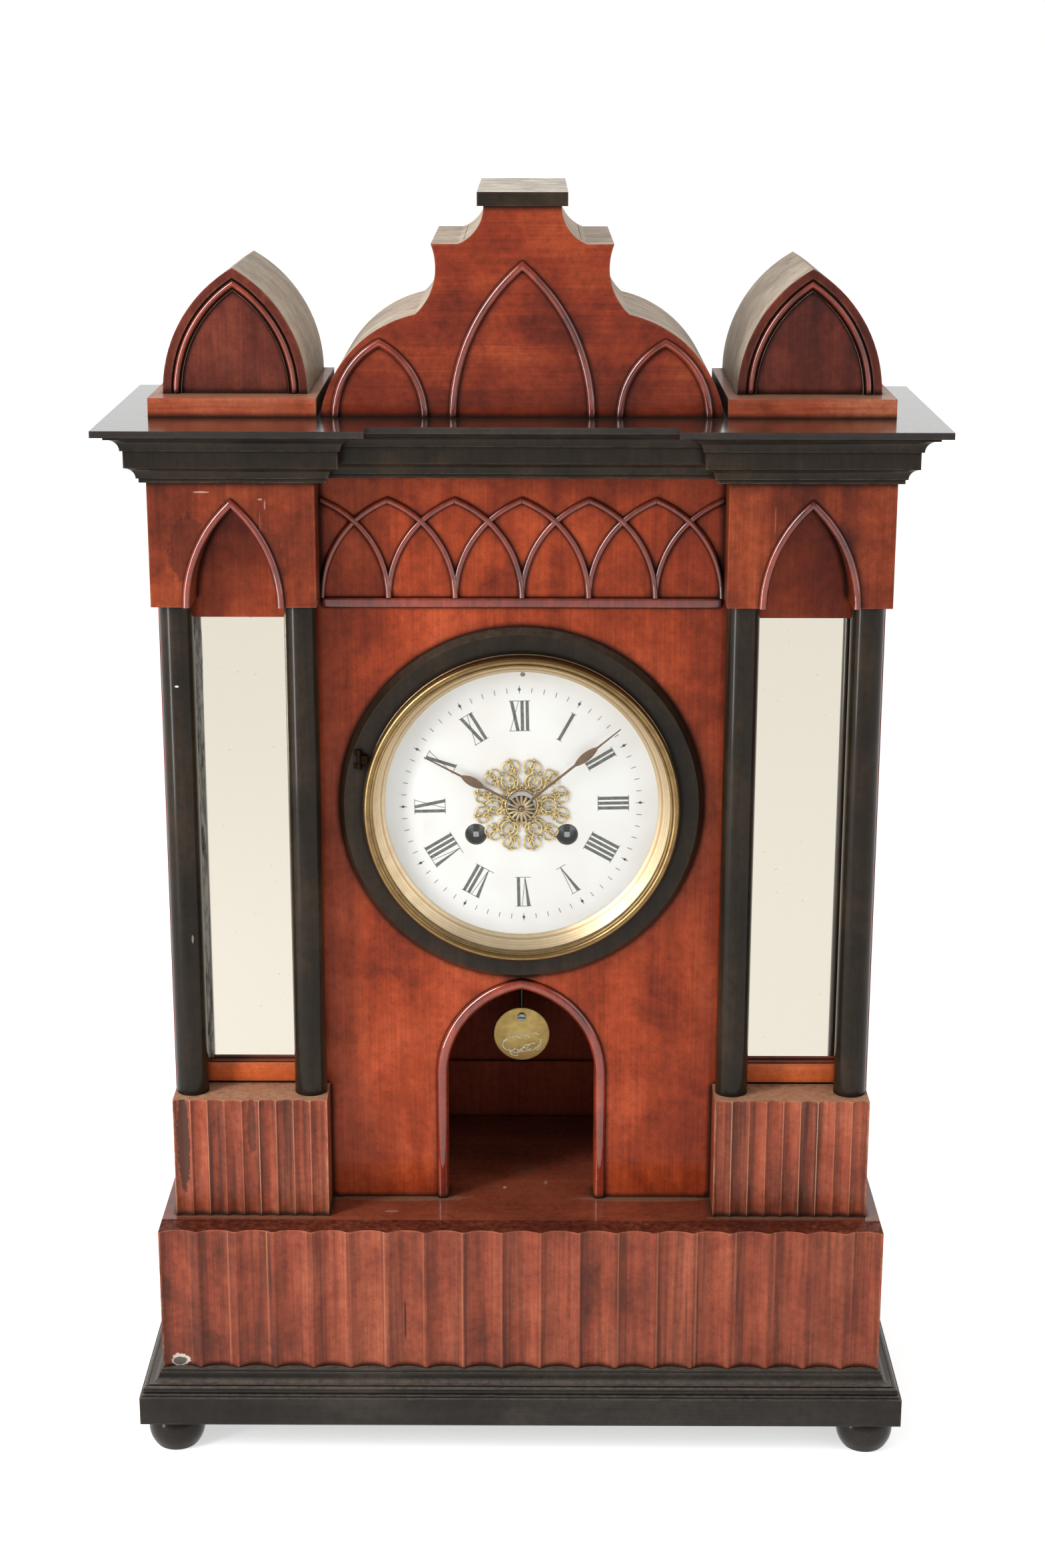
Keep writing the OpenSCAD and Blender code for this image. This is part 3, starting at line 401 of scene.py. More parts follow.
@dataclass(frozen=True)
class Fluting:
    """Where a board's ridges lie, in millimetres, how strong and how wide their pale line of rubbed wood and
    painted highlight is, and how much the flutes differ in tone.

    The ridges are counted from the left end of the piece on each side of the clock's middle. The step
    from side to side keeps the tones of the right piece from repeating those of the left one.
    """

    pitch: float
    left: float
    right: float
    worn: float
    line: float
    tone: float
    side_step: float = 57.0

    def coats(
        self, tree: Tree, place: Socket, front: Socket, ragged: Socket, dark: Colour, pale: Colour
    ) -> tuple[tuple[Socket, Colour], ...]:
        """Stain every flute in a tone of its own, paint shade next to its ridge, and lighten the ridge with
        rubbed wood and a painted highlight.

        Args:
            tree: the finish's node tree.
            place: object coordinates.
            front: one on faces that look to the front.
            ragged: a mask that breaks up the stain and the rubbed lines.
            dark: the colour of the stain and of the painted shade.
            pale: the colour of the rubbed wood and of its painted highlight.

        Returns:
            The masks of both coats with their colours.
        """
        x = node(tree, "SeparateXYZ", (place,))
        half = node(tree, "Math", (x, 0.0), operation="GREATER_THAN")
        first = ((self.left - self.right) / self.pitch, -self.left / self.pitch)
        start = node(tree, "Math", (half, *first), operation="MULTIPLY_ADD")
        count = node(tree, "Math", (x, METRE / self.pitch, start), operation="MULTIPLY_ADD")
        across = node(tree, "Math", (count,), operation="FRACT")
        whole = node(tree, "Math", (count,), operation="FLOOR")
        which = node(tree, "Math", (half, self.side_step, whole), operation="MULTIPLY_ADD")
        chance = node(tree, "TexWhiteNoise", {"W": which}, "Value", noise_dimensions="1D")
        tones = ((0.35, 0), (0.75, 0.4 * self.tone), (1.0, self.tone))
        # painted shade: a dark band just right of each ridge, where the flute's wall turns from the light on
        # the left, and a faint one just before the next ridge
        shade_beside_ridge = (
            (0.0, 0), (0.03, 0), (0.05, 0.75), (0.16, 0.4), (0.5, 0), (0.92, 0), (0.945, 0.3), (0.96, 0)
        )
        rub, near = self.worn, self.line / 2
        # the pale line on each ridge: rubbed wood and a painted highlight
        ridge = ((0.0, rub), (near, rub), (near + 0.015, 0), (0.985 - near, 0), (1.0 - near, rub))
        tone, edge, line = (
            node(
                tree,
                "Math",
                (
                    node(tree, "ValToRGB", (value,), stops=stops),
                    node(tree, "ValToRGB", (ragged,), stops=((low, thin), (high, 1))),
                ),
                operation="MULTIPLY",
            )
            for value, stops, low, thin, high in (
                (chance, tones, 0.36, 0.35, 0.6),
                (across, shade_beside_ridge, 0.4, 0.35, 0.58),
                (across, ridge, 0.4, 0.15, 0.62),
            )
        )
        tone_and_shade = node(tree, "Math", (tone, edge), operation="MAXIMUM")
        return tuple(
            (node(tree, "Math", (mask, front), operation="MULTIPLY"), colour)
            for mask, colour in ((tone_and_shade, dark), (line, pale))
        )


@dataclass(frozen=True)
class PolishedWood(Finish):
    """Close-grained hardwood, stained and rubbed with shellac.

    The figure gives long soft bands, the fibre gives the fine lines that catch the light, grime and
    painted shade darken the corners, painted shade darkens each field towards its rim, the rubbed edges
    show the paler wood, and dust lies on what faces up, or, with a painted sheen, as a grey veil on all
    that does not face the front.
    """

    # dark: the darkest tone of the stain, also the colour of the painted shade at the rims and at the flutes'
    # ridges
    dark: str
    mid: str
    light: str
    grain: Grain = Grain.UP
    figure_mm: float = 16
    rough: float = 0.32
    coat: float = 0.5
    streak: float = 0.22
    streak_mm: float = 7
    pores: float = 0.55
    # grime: how dark the corners go, with grime and painted shade
    grime: float = 0.92
    # rubbed: the paler wood of worn edges; on fluted boards also the painted highlight on the ridges
    rubbed: str = "#b8765a"
    rub: float = 0.35
    # dust: the colour of the dust, and with the grey veil also of its painted sheen
    dust: str = "#a47b60"
    dusty: float = 0.0
    relief: float = 0.2
    coat_rough: float = 0.12
    coat_ior: float = 1.4
    round_mm: float = 0.5
    shade: float = 0.5
    cloudy: float = 1.0
    # whether dust and a painted sheen lie as a grey veil on all that does not face the front
    dust_and_sheen_film: bool = False
    corner_grime_and_shade: str = "#160c07"
    fluting: Fluting | None = None
    scars: tuple[Scar, ...] = ()
    cloud_mm: float = 48
    fibre_mm: float = 1.1
    mottle_mm: float = 3.2
    pore_mm: float = 1.6
    patch_mm: float = 9
    rim_mm: float = 2.5
    edge_mm: float = 1.3
    corner_mm: float = 4
    field_mm: float = 26
    grain_mm: float = 0.12

    def surface(self, tree: Tree, place: Socket) -> dict:
        """Draw the wood, its wear, its dirt and its dust.

        Args:
            tree: the material's node tree.
            place: object coordinates.

        Returns:
            The shader's inputs by name.
        """
        pattern = self.patterns(tree, place)
        dark, rubbed = linear(self.dark), linear(self.rubbed)
        facing = node(tree, "SeparateXYZ", (node(tree, "NewGeometry", out="Normal"),)).node.outputs
        flat = node(tree, "Math", (facing["Y"],), operation="ABSOLUTE")
        front = node(tree, "ValToRGB", (flat,), stops=((0.4, 0), (0.75, 1)))
        colour = self.stained(tree, pattern)
        if self.fluting:
            colour = coated(
                tree, colour, *self.fluting.coats(tree, place, front, pattern["streaks"], dark, rubbed)
            )
        specks = node(tree, "ValToRGB", (pattern["pores"],), stops=((0.63, 0), (0.72, self.pores)))
        # grime and painted shade: the wood darkens towards a near black in corners, in creases and next to
        # the beads
        corner = node(tree, "AmbientOcclusion", {"Distance": self.corner_mm * MM}, "AO", samples=10)
        dirt = node(tree, "ValToRGB", (corner,), stops=((0.64, self.grime), (0.87, 0)))
        worn, rim_shade = self.wear(tree, pattern["patches"])
        marks = ((scar.mask(tree, place, pattern["rims"]), linear(scar.colour)) for scar in self.scars)
        coats = [(specks, dark), (worn, rubbed), (rim_shade, dark), (dirt, linear(self.corner_grime_and_shade)), *marks]
        # the polish is dull where grime and painted shade darken the corners, and where dust lies on it, with
        # its painted sheen where there is one
        dull = dirt
        if self.dusty:
            dust_and_sheen_mask, dust = self.dust_and_sheen(tree, place, front, facing["Z"])
            coats.append((dust_and_sheen_mask, dust))
            dull = node(tree, "Math", (dirt, dust_and_sheen_mask), operation="MAXIMUM")
        soft = node(tree, "Bevel", {"Radius": self.round_mm * MM}, samples=4)
        relief = {"Strength": self.relief, "Distance": self.grain_mm * MM, "Height": pattern["fibre"]}
        return {
            "Base Color": coated(tree, colour, *coats),
            "Roughness": node(tree, "Math", (dull, 0.45, self.rough), operation="MULTIPLY_ADD"),
            "Coat Weight": node(tree, "Math", (dull, -self.coat, self.coat), operation="MULTIPLY_ADD"),
            "Coat Roughness": self.coat_rough,
            "Coat IOR": self.coat_ior,
            "Specular IOR Level": 0.12,
            "Normal": node(tree, "Bump", {**relief, "Normal": soft}),
        }

    def patterns(self, tree: Tree, place: Socket) -> dict[str, Socket]:
        """Lay out the patterns of the wood and of its wear.

        Args:
            tree: the material's node tree.
            place: object coordinates.

        Returns:
            Each pattern by name.
        """
        long, fine = (
            node(tree, "Mapping", {"Vector": place, "Scale": tuple(1 - drawn * a for a in self.grain.value)})
            for drawn in (0.93, 0.975)
        )
        # coordinates, size in millimetres, detail, roughness and distortion of each; fibre and pores are
        # drawn coarser than they are, so that they show in a picture of the whole clock
        rows = {
            "figure": (long, self.figure_mm, 5, 0.6, 0.7),
            "clouds": (place, self.cloud_mm, 6, 0.62, 0.4),
            "fibre": (fine, self.fibre_mm, 2, 0.6, 0),
            "streaks": (fine, self.streak_mm, 4, 0.65, 0.3),
            "mottle": (place, self.mottle_mm, 7, 0.78, 0),
            "pores": (place, self.pore_mm, 3, 0.6, 0),
            "patches": (place, self.patch_mm, 4, 0.7, 0),
            "rims": (place, self.rim_mm, 4, 0.7, 0),
        }
        inputs = ("Vector", "Scale", "Detail", "Roughness", "Distortion")
        return {
            name: node(tree, "TexNoise", dict(zip(inputs, (at, METRE / size, *rest))))
            for name, (at, size, *rest) in rows.items()
        }

    def stained(self, tree: Tree, pattern: dict[str, Socket]) -> Socket:
        """Stain the wood in clouds, with mottle, sunk streaks and fibre lines.

        Args:
            tree: the material's node tree.
            pattern: each pattern by name.

        Returns:
            The stained colour.
        """
        dark, mid, light = (linear(tone) for tone in (self.dark, self.mid, self.light))
        bands = node(tree, "Mix", {0: 0.68, 2: pattern["figure"], 3: pattern["clouds"]})
        wide = 0.13 / self.cloudy
        tones = ((max(0.0, 0.48 - 1.15 * wide), dark), (0.49, mid), (0.49 + wide, light))
        mottle = node(tree, "ValToRGB", (pattern["mottle"],), stops=((0.3, 0.66), (0.5, 1), (0.68, 1.25)))
        sunk = node(tree, "ValToRGB", (pattern["streaks"],), stops=((0.5, 0), (0.72, self.streak)))
        lines = node(tree, "ValToRGB", (pattern["fibre"],), stops=((0.35, 0.86), (0.62, 1.05)))
        stain = node(tree, "ValToRGB", (bands,), stops=tones)
        return coated(tree, stain, (1.0, mottle, "MULTIPLY"), (sunk, dark), (1.0, lines, "MULTIPLY"))

    def wear(self, tree: Tree, patches: Socket) -> tuple[Socket, Socket]:
        """Rub the edges and paint shade on each field towards its rim, both in patches.

        Args:
            tree: the material's node tree.
            patches: the pattern that breaks both up.

        Returns:
            The masks of the rubbed edges and of the painted shade at the rims.
        """
        near = {"samples": 6, "inside": True, "only_local": True}
        edge = node(tree, "AmbientOcclusion", {"Distance": self.edge_mm * MM}, "AO", **near)
        # painted shade: a wide darkening of each field where other parts stand close to it
        rim = node(tree, "AmbientOcclusion", {"Distance": self.field_mm * MM}, "AO", samples=5)
        return tuple(
            node(
                tree,
                "Math",
                (
                    node(tree, "ValToRGB", (reach,), stops=stops),
                    node(tree, "ValToRGB", (patches,), stops=broken),
                ),
                operation="MULTIPLY",
            )
            for reach, stops, broken in (
                (edge, ((0.35, 1), (0.75, 0)), ((0.38, 0), (0.62, self.rub))),
                (rim, ((0.45, 1), (0.97, 0)), ((0.3, 0.4 * self.shade), (0.6, self.shade))),
            )
        )

    def dust_and_sheen(self, tree: Tree, place: Socket, front: Socket, upward: Socket) -> tuple[Socket, Socket]:
        """Lay dust on what faces up, or, where the finish asks for it, a grey veil of dust and painted sheen
        on all that does not face the front.

        Args:
            tree: the material's node tree.
            place: object coordinates.
            front: one on faces that look to the front.
            upward: the height of the normal.

        Returns:
            The mask and colour of the dust, with its painted sheen where there is one.
        """
        # dust and painted sheen: a grey veil on every face that does not look to the front
        if self.dust_and_sheen_film:
            dust_and_sheen_mask = node(tree, "Math", (1.0, front), operation="SUBTRACT")
            size_mm, bent, thin, dim = 16, 0.3, 0.8, 0.66
        else:
            dust_and_sheen_mask = node(tree, "ValToRGB", (upward,), stops=((0.55, 0), (0.95, 1)))
            size_mm, bent, thin, dim = 3.5, 0.0, 0.35, 1.0
        lint = {"Scale": METRE / size_mm, "Detail": 6, "Roughness": 0.75, "Distortion": bent}
        pattern = node(tree, "TexNoise", {"Vector": place, **lint})
        thick = node(tree, "ValToRGB", (pattern,), stops=((0.32, thin * self.dusty), (0.6, self.dusty)))
        dust = linear(self.dust)
        colour = node(tree, "ValToRGB", (pattern,), stops=((0.36, tuple(dim * c for c in dust)), (0.6, dust)))
        return node(tree, "Math", (dust_and_sheen_mask, thick), operation="MULTIPLY"), colour


@dataclass(frozen=True)
class AgedMetal(Finish):
    """Turned or cast metal with a skin of old lacquer and tarnish.

    Cloudy tarnish breaks up the colour, turning marks roughen it, and dirt lies in the corners.
    """

    bright: str
    tarnish: str
    rough: float = 0.3
    cloud_mm: float = 6
    tarnished: float = 0.5
    grime: float = 0.6
    metal: float = 1.0
    round_mm: float = 0.2
    turned_mm: float = 0.0
    turned_at: Point = (0.0, 0.0, 311.3)
    dirt: str = "#2a1a10"
    pit_mm: float = 0.7
    corner_mm: float = 1.6
    grain_mm: float = 0.05

    def surface(self, tree: Tree, place: Socket) -> dict:
        """Draw the metal, its tarnish and its dirt.

        Args:
            tree: the material's node tree.
            place: object coordinates.

        Returns:
            The shader's inputs by name.
        """
        cloudy = {"Vector": place, "Scale": METRE / self.cloud_mm, "Detail": 6, "Roughness": 0.65}
        cloud = node(tree, "TexNoise", cloudy)
        tarnish = linear(self.tarnish)
        coats = [(node(tree, "ValToRGB", (cloud,), stops=((0.4, 0), (0.68, self.tarnished))), tarnish)]
        if self.turned_mm:
            # rings left by the lathe round the piece's middle, drawn coarser than they are
            flat = node(tree, "VectorMath", (place, (1.0, 0.0, 1.0)), operation="MULTIPLY")
            centre = Vector(self.turned_at) * MM
            away = node(tree, "VectorMath", (flat, centre), "Value", operation="DISTANCE")
            rings = node(tree, "Math", (away, METRE / self.turned_mm), operation="MULTIPLY")
            spun = node(tree, "TexNoise", {"W": rings, "Scale": 1, "Detail": 3}, noise_dimensions="1D")
            coats.append((node(tree, "ValToRGB", (spun,), stops=((0.42, 0), (0.62, 0.75))), tarnish))
            fleck = node(tree, "Math", (spun, 3.0), operation="MULTIPLY")
        else:
            pitted = {"Vector": place, "Scale": METRE / self.pit_mm, "Detail": 3, "Roughness": 0.6}
            fleck = node(tree, "TexNoise", pitted)
        corner = node(tree, "AmbientOcclusion", {"Distance": self.corner_mm * MM}, "AO", samples=6)
        corners = node(tree, "ValToRGB", (corner,), stops=((0.3, self.grime), (0.85, 0)))
        coats.append((corners, linear(self.dirt)))
        soft = node(tree, "Bevel", {"Radius": self.round_mm * MM}, samples=4)
        bump = {"Strength": 0.12, "Distance": self.grain_mm * MM, "Height": fleck, "Normal": soft}
        return {
            "Base Color": coated(tree, linear(self.bright), *coats),
            "Roughness": node(tree, "Math", (cloud, 0.35, self.rough - 0.14), operation="MULTIPLY_ADD"),
            "Metallic": self.metal,
            "Normal": node(tree, "Bump", bump),
        }


@dataclass(frozen=True)
class FiredEnamel(Finish):
    """White enamel fired on a copper disc, with faint clouding, one chip at the rim and bare lips."""

    name: str = "fired_white_enamel"
    white: str = "#fdfdfa"
    shade: str = "#f6f4ee"
    copper: str = "#8a6a48"
    lip: str = "#3d3426"
    chip_at: Point = (0.4, -31.0, 373.4)
    chip_r: float = 1.9
    holes: tuple[Point, ...] = ((-21.2, -31.0, 296.9), (21.2, -31.0, 296.9))
    hole_r: float = 5.15
    cloud_mm: float = 28
    rim_mm: float = 1.2

    def surface(self, tree: Tree, place: Socket) -> dict:
        """Draw the enamel and bare the copper at its chip and at the lip of each winding hole.

        Args:
            tree: the material's node tree.
            place: object coordinates.

        Returns:
            The shader's inputs by name.
        """
        cloud = node(tree, "TexNoise", {"Vector": place, "Scale": METRE / self.cloud_mm, "Detail": 4})
        tones = ((0.35, linear(self.shade)), (0.6, linear(self.white)))
        glaze = node(tree, "ValToRGB", (cloud,), stops=tones)
        ragged = node(tree, "TexNoise", {"Vector": place, "Scale": METRE / self.rim_mm, "Detail": 3})
        bare = []
        for at, radius, broken, colour in (
            (self.chip_at, self.chip_r, 1.6, self.copper),
            *((hole, self.hole_r, 0.0, self.lip) for hole in self.holes),
        ):
            away = node(tree, "VectorMath", (place, Vector(at) * MM), "Value", operation="DISTANCE")
            edge = node(tree, "Math", (ragged, broken * MM, away), operation="MULTIPLY_ADD")
            bare.append((node(tree, "Math", (edge, radius * MM), operation="LESS_THAN"), linear(colour)))
        return {
            "Base Color": coated(tree, glaze, *bare),
            "Roughness": 0.16,
            "Coat Weight": 0.4,
            "Coat Roughness": 0.05,
        }


@dataclass(frozen=True)
class SilveredGlass(Finish):
    """Old mirror plate: silvered behind, a little warm, with streaks and small blooms.

    Along the outer edge of the left plate, a streaky grey strip without silver is painted reflection.
    """

    name: str = "silvered_mirror_plate"
    tint: str = "#f3ecdc"
    bloom: str = "#9c907c"
    # the two greys of the painted reflection strip, how far it reaches and how ragged its edge is
    bare: tuple[str, str] = ("#5c5850", "#c4beb2")
    grey_strip_to: float = -144.5
    ragged: float = 5.0
    streak_mm: float = 5
    bloom_mm: float = 2.2
    strip_mark_mm: float = 1.6

    def surface(self, tree: Tree, place: Socket) -> dict:
        """Draw the silver, its blooms and the grey strip of painted reflection.

        Args:
            tree: the material's node tree.
            place: object coordinates.

        Returns:
            The shader's inputs by name.
        """
        run, strip_run = (
            node(tree, "Mapping", {"Vector": place, "Scale": (1.0, 1.0, drawn)}) for drawn in (0.05, 0.12)
        )
        streak = node(tree, "TexNoise", {"Vector": run, "Scale": METRE / self.streak_mm, "Detail": 4})
        spots, marks = (
            node(tree, "TexNoise", {"Vector": at, "Scale": METRE / size, "Detail": detail, "Roughness": 0.7})
            for at, size, detail in ((place, self.bloom_mm, 5), (strip_run, self.strip_mark_mm, 4))
        )
        silver = ((0.66, linear(self.tint)), (0.74, linear(self.bloom)))
        grey = ((0.38, linear(self.bare[0])), (0.6, linear(self.bare[1])))
        # painted reflection: a streaky grey strip, not metallic, along the left plate's outer edge
        edge = (streak, self.ragged * MM, node(tree, "SeparateXYZ", (place,)))
        across = node(tree, "Math", edge, operation="MULTIPLY_ADD")
        in_grey_strip = node(tree, "Math", (across, self.grey_strip_to * MM), operation="LESS_THAN")
        plate, strip = (
            node(tree, "ValToRGB", (value,), stops=stops) for value, stops in ((spots, silver), (marks, grey))
        )
        return {
            "Base Color": coated(tree, plate, (in_grey_strip, strip)),
            "Metallic": node(tree, "Math", (in_grey_strip, -0.8, 1.0), operation="MULTIPLY_ADD"),
            "Roughness": node(tree, "ValToRGB", (streak,), stops=((0.4, 0.02), (0.7, 0.1))),
        }


@dataclass(frozen=True)
class ClearGlass(Finish):
    """Polished crown glass, seen only by its reflections."""

    name: str = "clear_dial_glass"
    tint: str = "#f4f7f5"

    def surface(self, tree: Tree, place: Socket) -> dict:
        """Show the glass where it is seen at a slant.

        Args:
            tree: the material's node tree.
            place: object coordinates.

        Returns:
            The shader's inputs by name.
        """
        slant = node(tree, "LayerWeight", {"Blend": 0.2}, "Fresnel")
        return {
            "Alpha": node(tree, "ValToRGB", (slant,), stops=((0.0, 0.02), (0.9, 0.5))),
            "Base Color": linear(self.tint),
            "Roughness": 0.02,
        }


@dataclass(frozen=True)
class FiredPaint(Finish):
    """Matt black-green ceramic paint of the numerals, thin enough to show the brush."""

    name: str = "fired_numeral_paint"
    body: str = "#4b4f4a"
    thin: str = "#787b74"
    brush_mm: float = 1.5

    def surface(self, tree: Tree, place: Socket) -> dict:
        """Draw the paint in the marks of its brush.

        Args:
            tree: the material's node tree.
            place: object coordinates.

        Returns:
            The shader's inputs by name.
        """
        drawn = {"Vector": place, "Scale": METRE / self.brush_mm, "Detail": 4, "Roughness": 0.7}
        brush = node(tree, "TexNoise", drawn)
        tones = ((0.38, linear(self.body)), (0.7, linear(self.thin)))
        return {"Base Color": node(tree, "ValToRGB", (brush,), stops=tones), "Roughness": 0.45}


@dataclass
class Finishes:
    """Every finish of the clock, each built once."""

    # case front: warm red-brown in soft clouds, with a satin shine
    front: PolishedWood = PolishedWood(
        "stained_front_board", "#5a1c0d", "#973b1b", "#b34e2b", figure_mm=18, rough=0.36, coat=0.3,
        shade=0.35, scars=(Scar((-0.4, -31.0, 231.5), (0.7, 9, 3.2), "#cdbfae"),),
    )
    # blocks over the columns: a shade darker, scratched and stained
    block: PolishedWood = PolishedWood(
        "stained_frieze_block", "#3f150b", "#7a3118", "#9a4625", figure_mm=14, rub=0.5, coat=0.3,
        scars=(
            Scar((-141.5, -53.5, 461.2), (3.6, 9, 0.35), "#c8a48e", 0.7),
            Scar((-115.5, -53.5, 458.0), (1.2, 9, 0.5), "#b9907a", 0.6),
            Scar((-113.5, -53.5, 455.5), (0.35, 9, 2.2), "#b9907a", 0.5),
            Scar((-115.8, -53.5, 446.0), (0.2, 9, 7.5), "#a4644a", 0.5),
            Scar((-131.0, -53.5, 421.0), (0.6, 9, 1.4), "#8a4630", 0.5),
            Scar((-148.0, -53.5, 436.0), (9.0, 9, 15), "#2f110b", 0.45),
            Scar((-112.0, -53.5, 428.0), (7.0, 9, 16), "#2f110b", 0.35),
            Scar((112.0, -53.5, 449.0), (0.3, 9, 6.0), "#a4644a", 0.5),
            Scar((140.0, -53.5, 430.0), (8.0, 9, 16), "#2f110b", 0.4),
        ),
    )
    # crest: a dark red face with rubbed edges, its shoulders grey with dust and a painted sheen
    crest: PolishedWood = PolishedWood(
        "stained_crest_board", "#43130a", "#843118", "#9f4524", Grain.ACROSS, 15, rub=0.8, coat=0.35,
        dust="#d3c4b0", dusty=0.95, dust_and_sheen_film=True,
    )
    # towers: the darkest faces of the case, with the same grey dust and painted sheen on their curved tops
    tower: PolishedWood = PolishedWood(
        "stained_tower_board", "#2e110c", "#5e2519", "#763726", figure_mm=12, rub=0.8, coat=0.35,
        dust="#c6b7a4", dusty=0.95, dust_and_sheen_film=True,
    )
    # tower boards: pale and streaky where the stain has worn off
    ledge: PolishedWood = PolishedWood(
        "stained_tower_ledge", "#6c2a19", "#b75a3a", "#d07d58", Grain.ACROSS, 12, rub=0.7, streak=0.6,
        dust="#9b8069", dusty=0.6,
    )
    # rails above and below the mirrors: orange wood that light has hardly reached
    niche: PolishedWood = PolishedWood(
        "stained_niche_rail", "#b04c22", "#cf6838", "#df7c4a", Grain.ACROSS, rub=0.2, coat=0.3, grime=0.35,
        dust="#c98a63", dusty=0.5,
    )
    # fluted base: streaky, each flute in a tone of its own with painted shade next to its ridge, the ridges
    # pale with rubbed wood and a painted highlight
    flute: PolishedWood = PolishedWood(
        "stained_fluted_board", "#42241c", "#934630", "#ab5c41", figure_mm=9, rub=0.8, coat=0.35, streak=0.6,
        streak_mm=3.5, rubbed="#d68a5e", dust="#3a140b", dusty=0.9, cloudy=0.85, round_mm=0.35,
        fluting=Fluting(351 / 19, -175.5, -175.5, 0.4, 0.02, 0.35),
        scars=(
            Scar((-163.0, -70.5, 44.5), (4.6, 9, 3.2), "#d8cfc4", 0.8),
            Scar((-163.0, -70.5, 44.0), (3.7, 9, 2.2), "#33201d"),
            Scar((-55.0, -68.5, 66.0), (0.5, 9, 11), "#2f140c", 0.8),
        ),
    )
    # fluted pedestals: paler and dirtier than the base, with stronger dark streaks, and the same painted
    # shade and highlight at the ridges
    pedestal: PolishedWood = PolishedWood(
        "stained_fluted_pedestal", "#33201a", "#9c4a32", "#b86749", figure_mm=9, rub=0.8, coat=0.35,
        streak=0.6, streak_mm=3, rubbed="#dc9f78", dust="#b5896b", dusty=1.0, cloudy=0.7, round_mm=0.3,
        fluting=Fluting(73 / 9, -164.5, 91.5, 0.7, 0.03, 0.85),
        scars=(
            Scar((-160.0, -52.5, 150.0), (3.0, 9, 26.0), "#3b2a22", 0.85),
            Scar((-127.5, -52.5, 158.0), (2.2, 9, 14.0), "#3b2a22", 0.6),
        ),
    )
    # case sides: plain brown with a little dust
    side: PolishedWood = PolishedWood(
        "stained_case_side", "#4f1d0c", "#783316", "#944622", figure_mm=20, coat=0.3, dusty=0.4
    )
    # top of the base: glossy enough to show what stands on it, dulled in patches by dust
    box: PolishedWood = PolishedWood(
        "stained_box_top", "#43140b", "#762b19", "#8f3f27", Grain.ACROSS, 24, rough=0.2, coat=1.0,
        coat_rough=0.05, relief=0.03, dust="#956a50", dusty=0.22,
        scars=(
            *(Scar((x, -32.5, 112.5), (33, 3.2, 3), "#84654f", 0.55) for x in (-58.0, 58.0)),
            *(Scar((x, -53.6, 112.5), (40, 1.6, 3), "#84654f", 0.45) for x in (-128.0, 128.0)),
            Scar((-62.0, -47.0, 112.5), (3.5, 1.2, 3), "#a58a72", 0.5),
            Scar((-8.0, -20.0, 112.5), (0.8, 1.6, 3), "#b7a595", 0.8),
            Scar((12.0, -14.0, 112.5), (1.0, 2.2, 3), "#a08d7c", 0.6),
            Scar((2.0, 2.0, 112.5), (7.0, 6.0, 3), "#6a5548", 0.3),
        ),
    )
    # planted beads: dark red under thick polish, with a bright line of light along each
    bead: PolishedWood = PolishedWood(
        "stained_planted_bead", "#380e07", "#7c2610", "#9a381a", figure_mm=7, rough=0.3, rub=0.15, coat=1.0,
        coat_rough=0.035, coat_ior=1.8, rubbed="#b9775c", grime=1.0, shade=0.0, round_mm=0.1,
    )
    # ebonised columns, cornice and dial surround: soft black with brown rubbed edges
    black: PolishedWood = PolishedWood(
        "ebonised_wood", "#16110a", "#261d13", "#35291c", figure_mm=12, rough=0.3, rub=0.7, coat=0.4,
        coat_rough=0.1, streak=0.1, rubbed="#7d6853", grime=0.75, dust="#8f8072", dusty=0.25, relief=0.1,
        scars=(
            Scar((-156.1, -47.0, 371.4), (0.9, 9, 0.5), "#d9d2c8"),
            Scar((-153.0, -47.0, 250.0), (0.5, 9, 2.0), "#a89a8a", 0.6),
        ),
    )
    # crest cap: ebonised, pale with dust and a painted sheen on top
    cap: PolishedWood = PolishedWood(
        "dusty_crest_cap", "#16110a", "#261d13", "#35291c", Grain.ACROSS, 12, rub=0.6, coat=0.4, streak=0.1,
        rubbed="#5f4a3a", grime=0.3, dust="#e8dccd", dusty=1.0, dust_and_sheen_film=True, relief=0.1,
    )
    # plinth and feet: ebonised, a little greyer than the rest
    plinth: PolishedWood = PolishedWood(
        "ebonised_plinth", "#1b1713", "#27221d", "#352f29", Grain.ACROSS, 24, rough=0.34, rub=0.7,
        streak=0.2, rubbed="#7a6a5e", grime=0.4, dust="#7d746a", dusty=0.5, relief=0.12,
    )
    # cornice top: ebonised and polished until it shows the towers
    slab: PolishedWood = PolishedWood(
        "ebonised_cornice_top", "#15100c", "#211a15", "#2e2620", Grain.ACROSS, 24, rough=0.2, rub=0.5,
        coat=1.0, streak=0.2, rubbed="#6b4a38", grime=0.2, shade=0.2, dust="#8d7f72", dusty=0.08, relief=0.0,
    )
    # back boards: stained but never polished, so without shine
    plain: PolishedWood = PolishedWood(
        "plain_back_board", "#662518", "#8c3b26", "#a04d36", figure_mm=22, rough=0.55, rub=0.2, coat=0.0,
        grime=0.35, cloudy=0.5, dusty=0.3,
    )
    # bezel: brass under old lacquer, dark in its corners
    bezel: AgedMetal = AgedMetal("lacquered_bezel_brass", "#9f8357", "#705537", 0.28, grime=0.9)
    # hinge of the bezel and plate of the boss: nearly black
    hinge: AgedMetal = AgedMetal("blackened_hinge_brass", "#2b2119", "#19130e", 0.45)
    # engraved strokes: bright lines on the bob
    scroll: AgedMetal = AgedMetal("bright_cut_brass", "#fffbe6", "#fff1c8", 0.35, grime=0.0, tarnished=0.3)
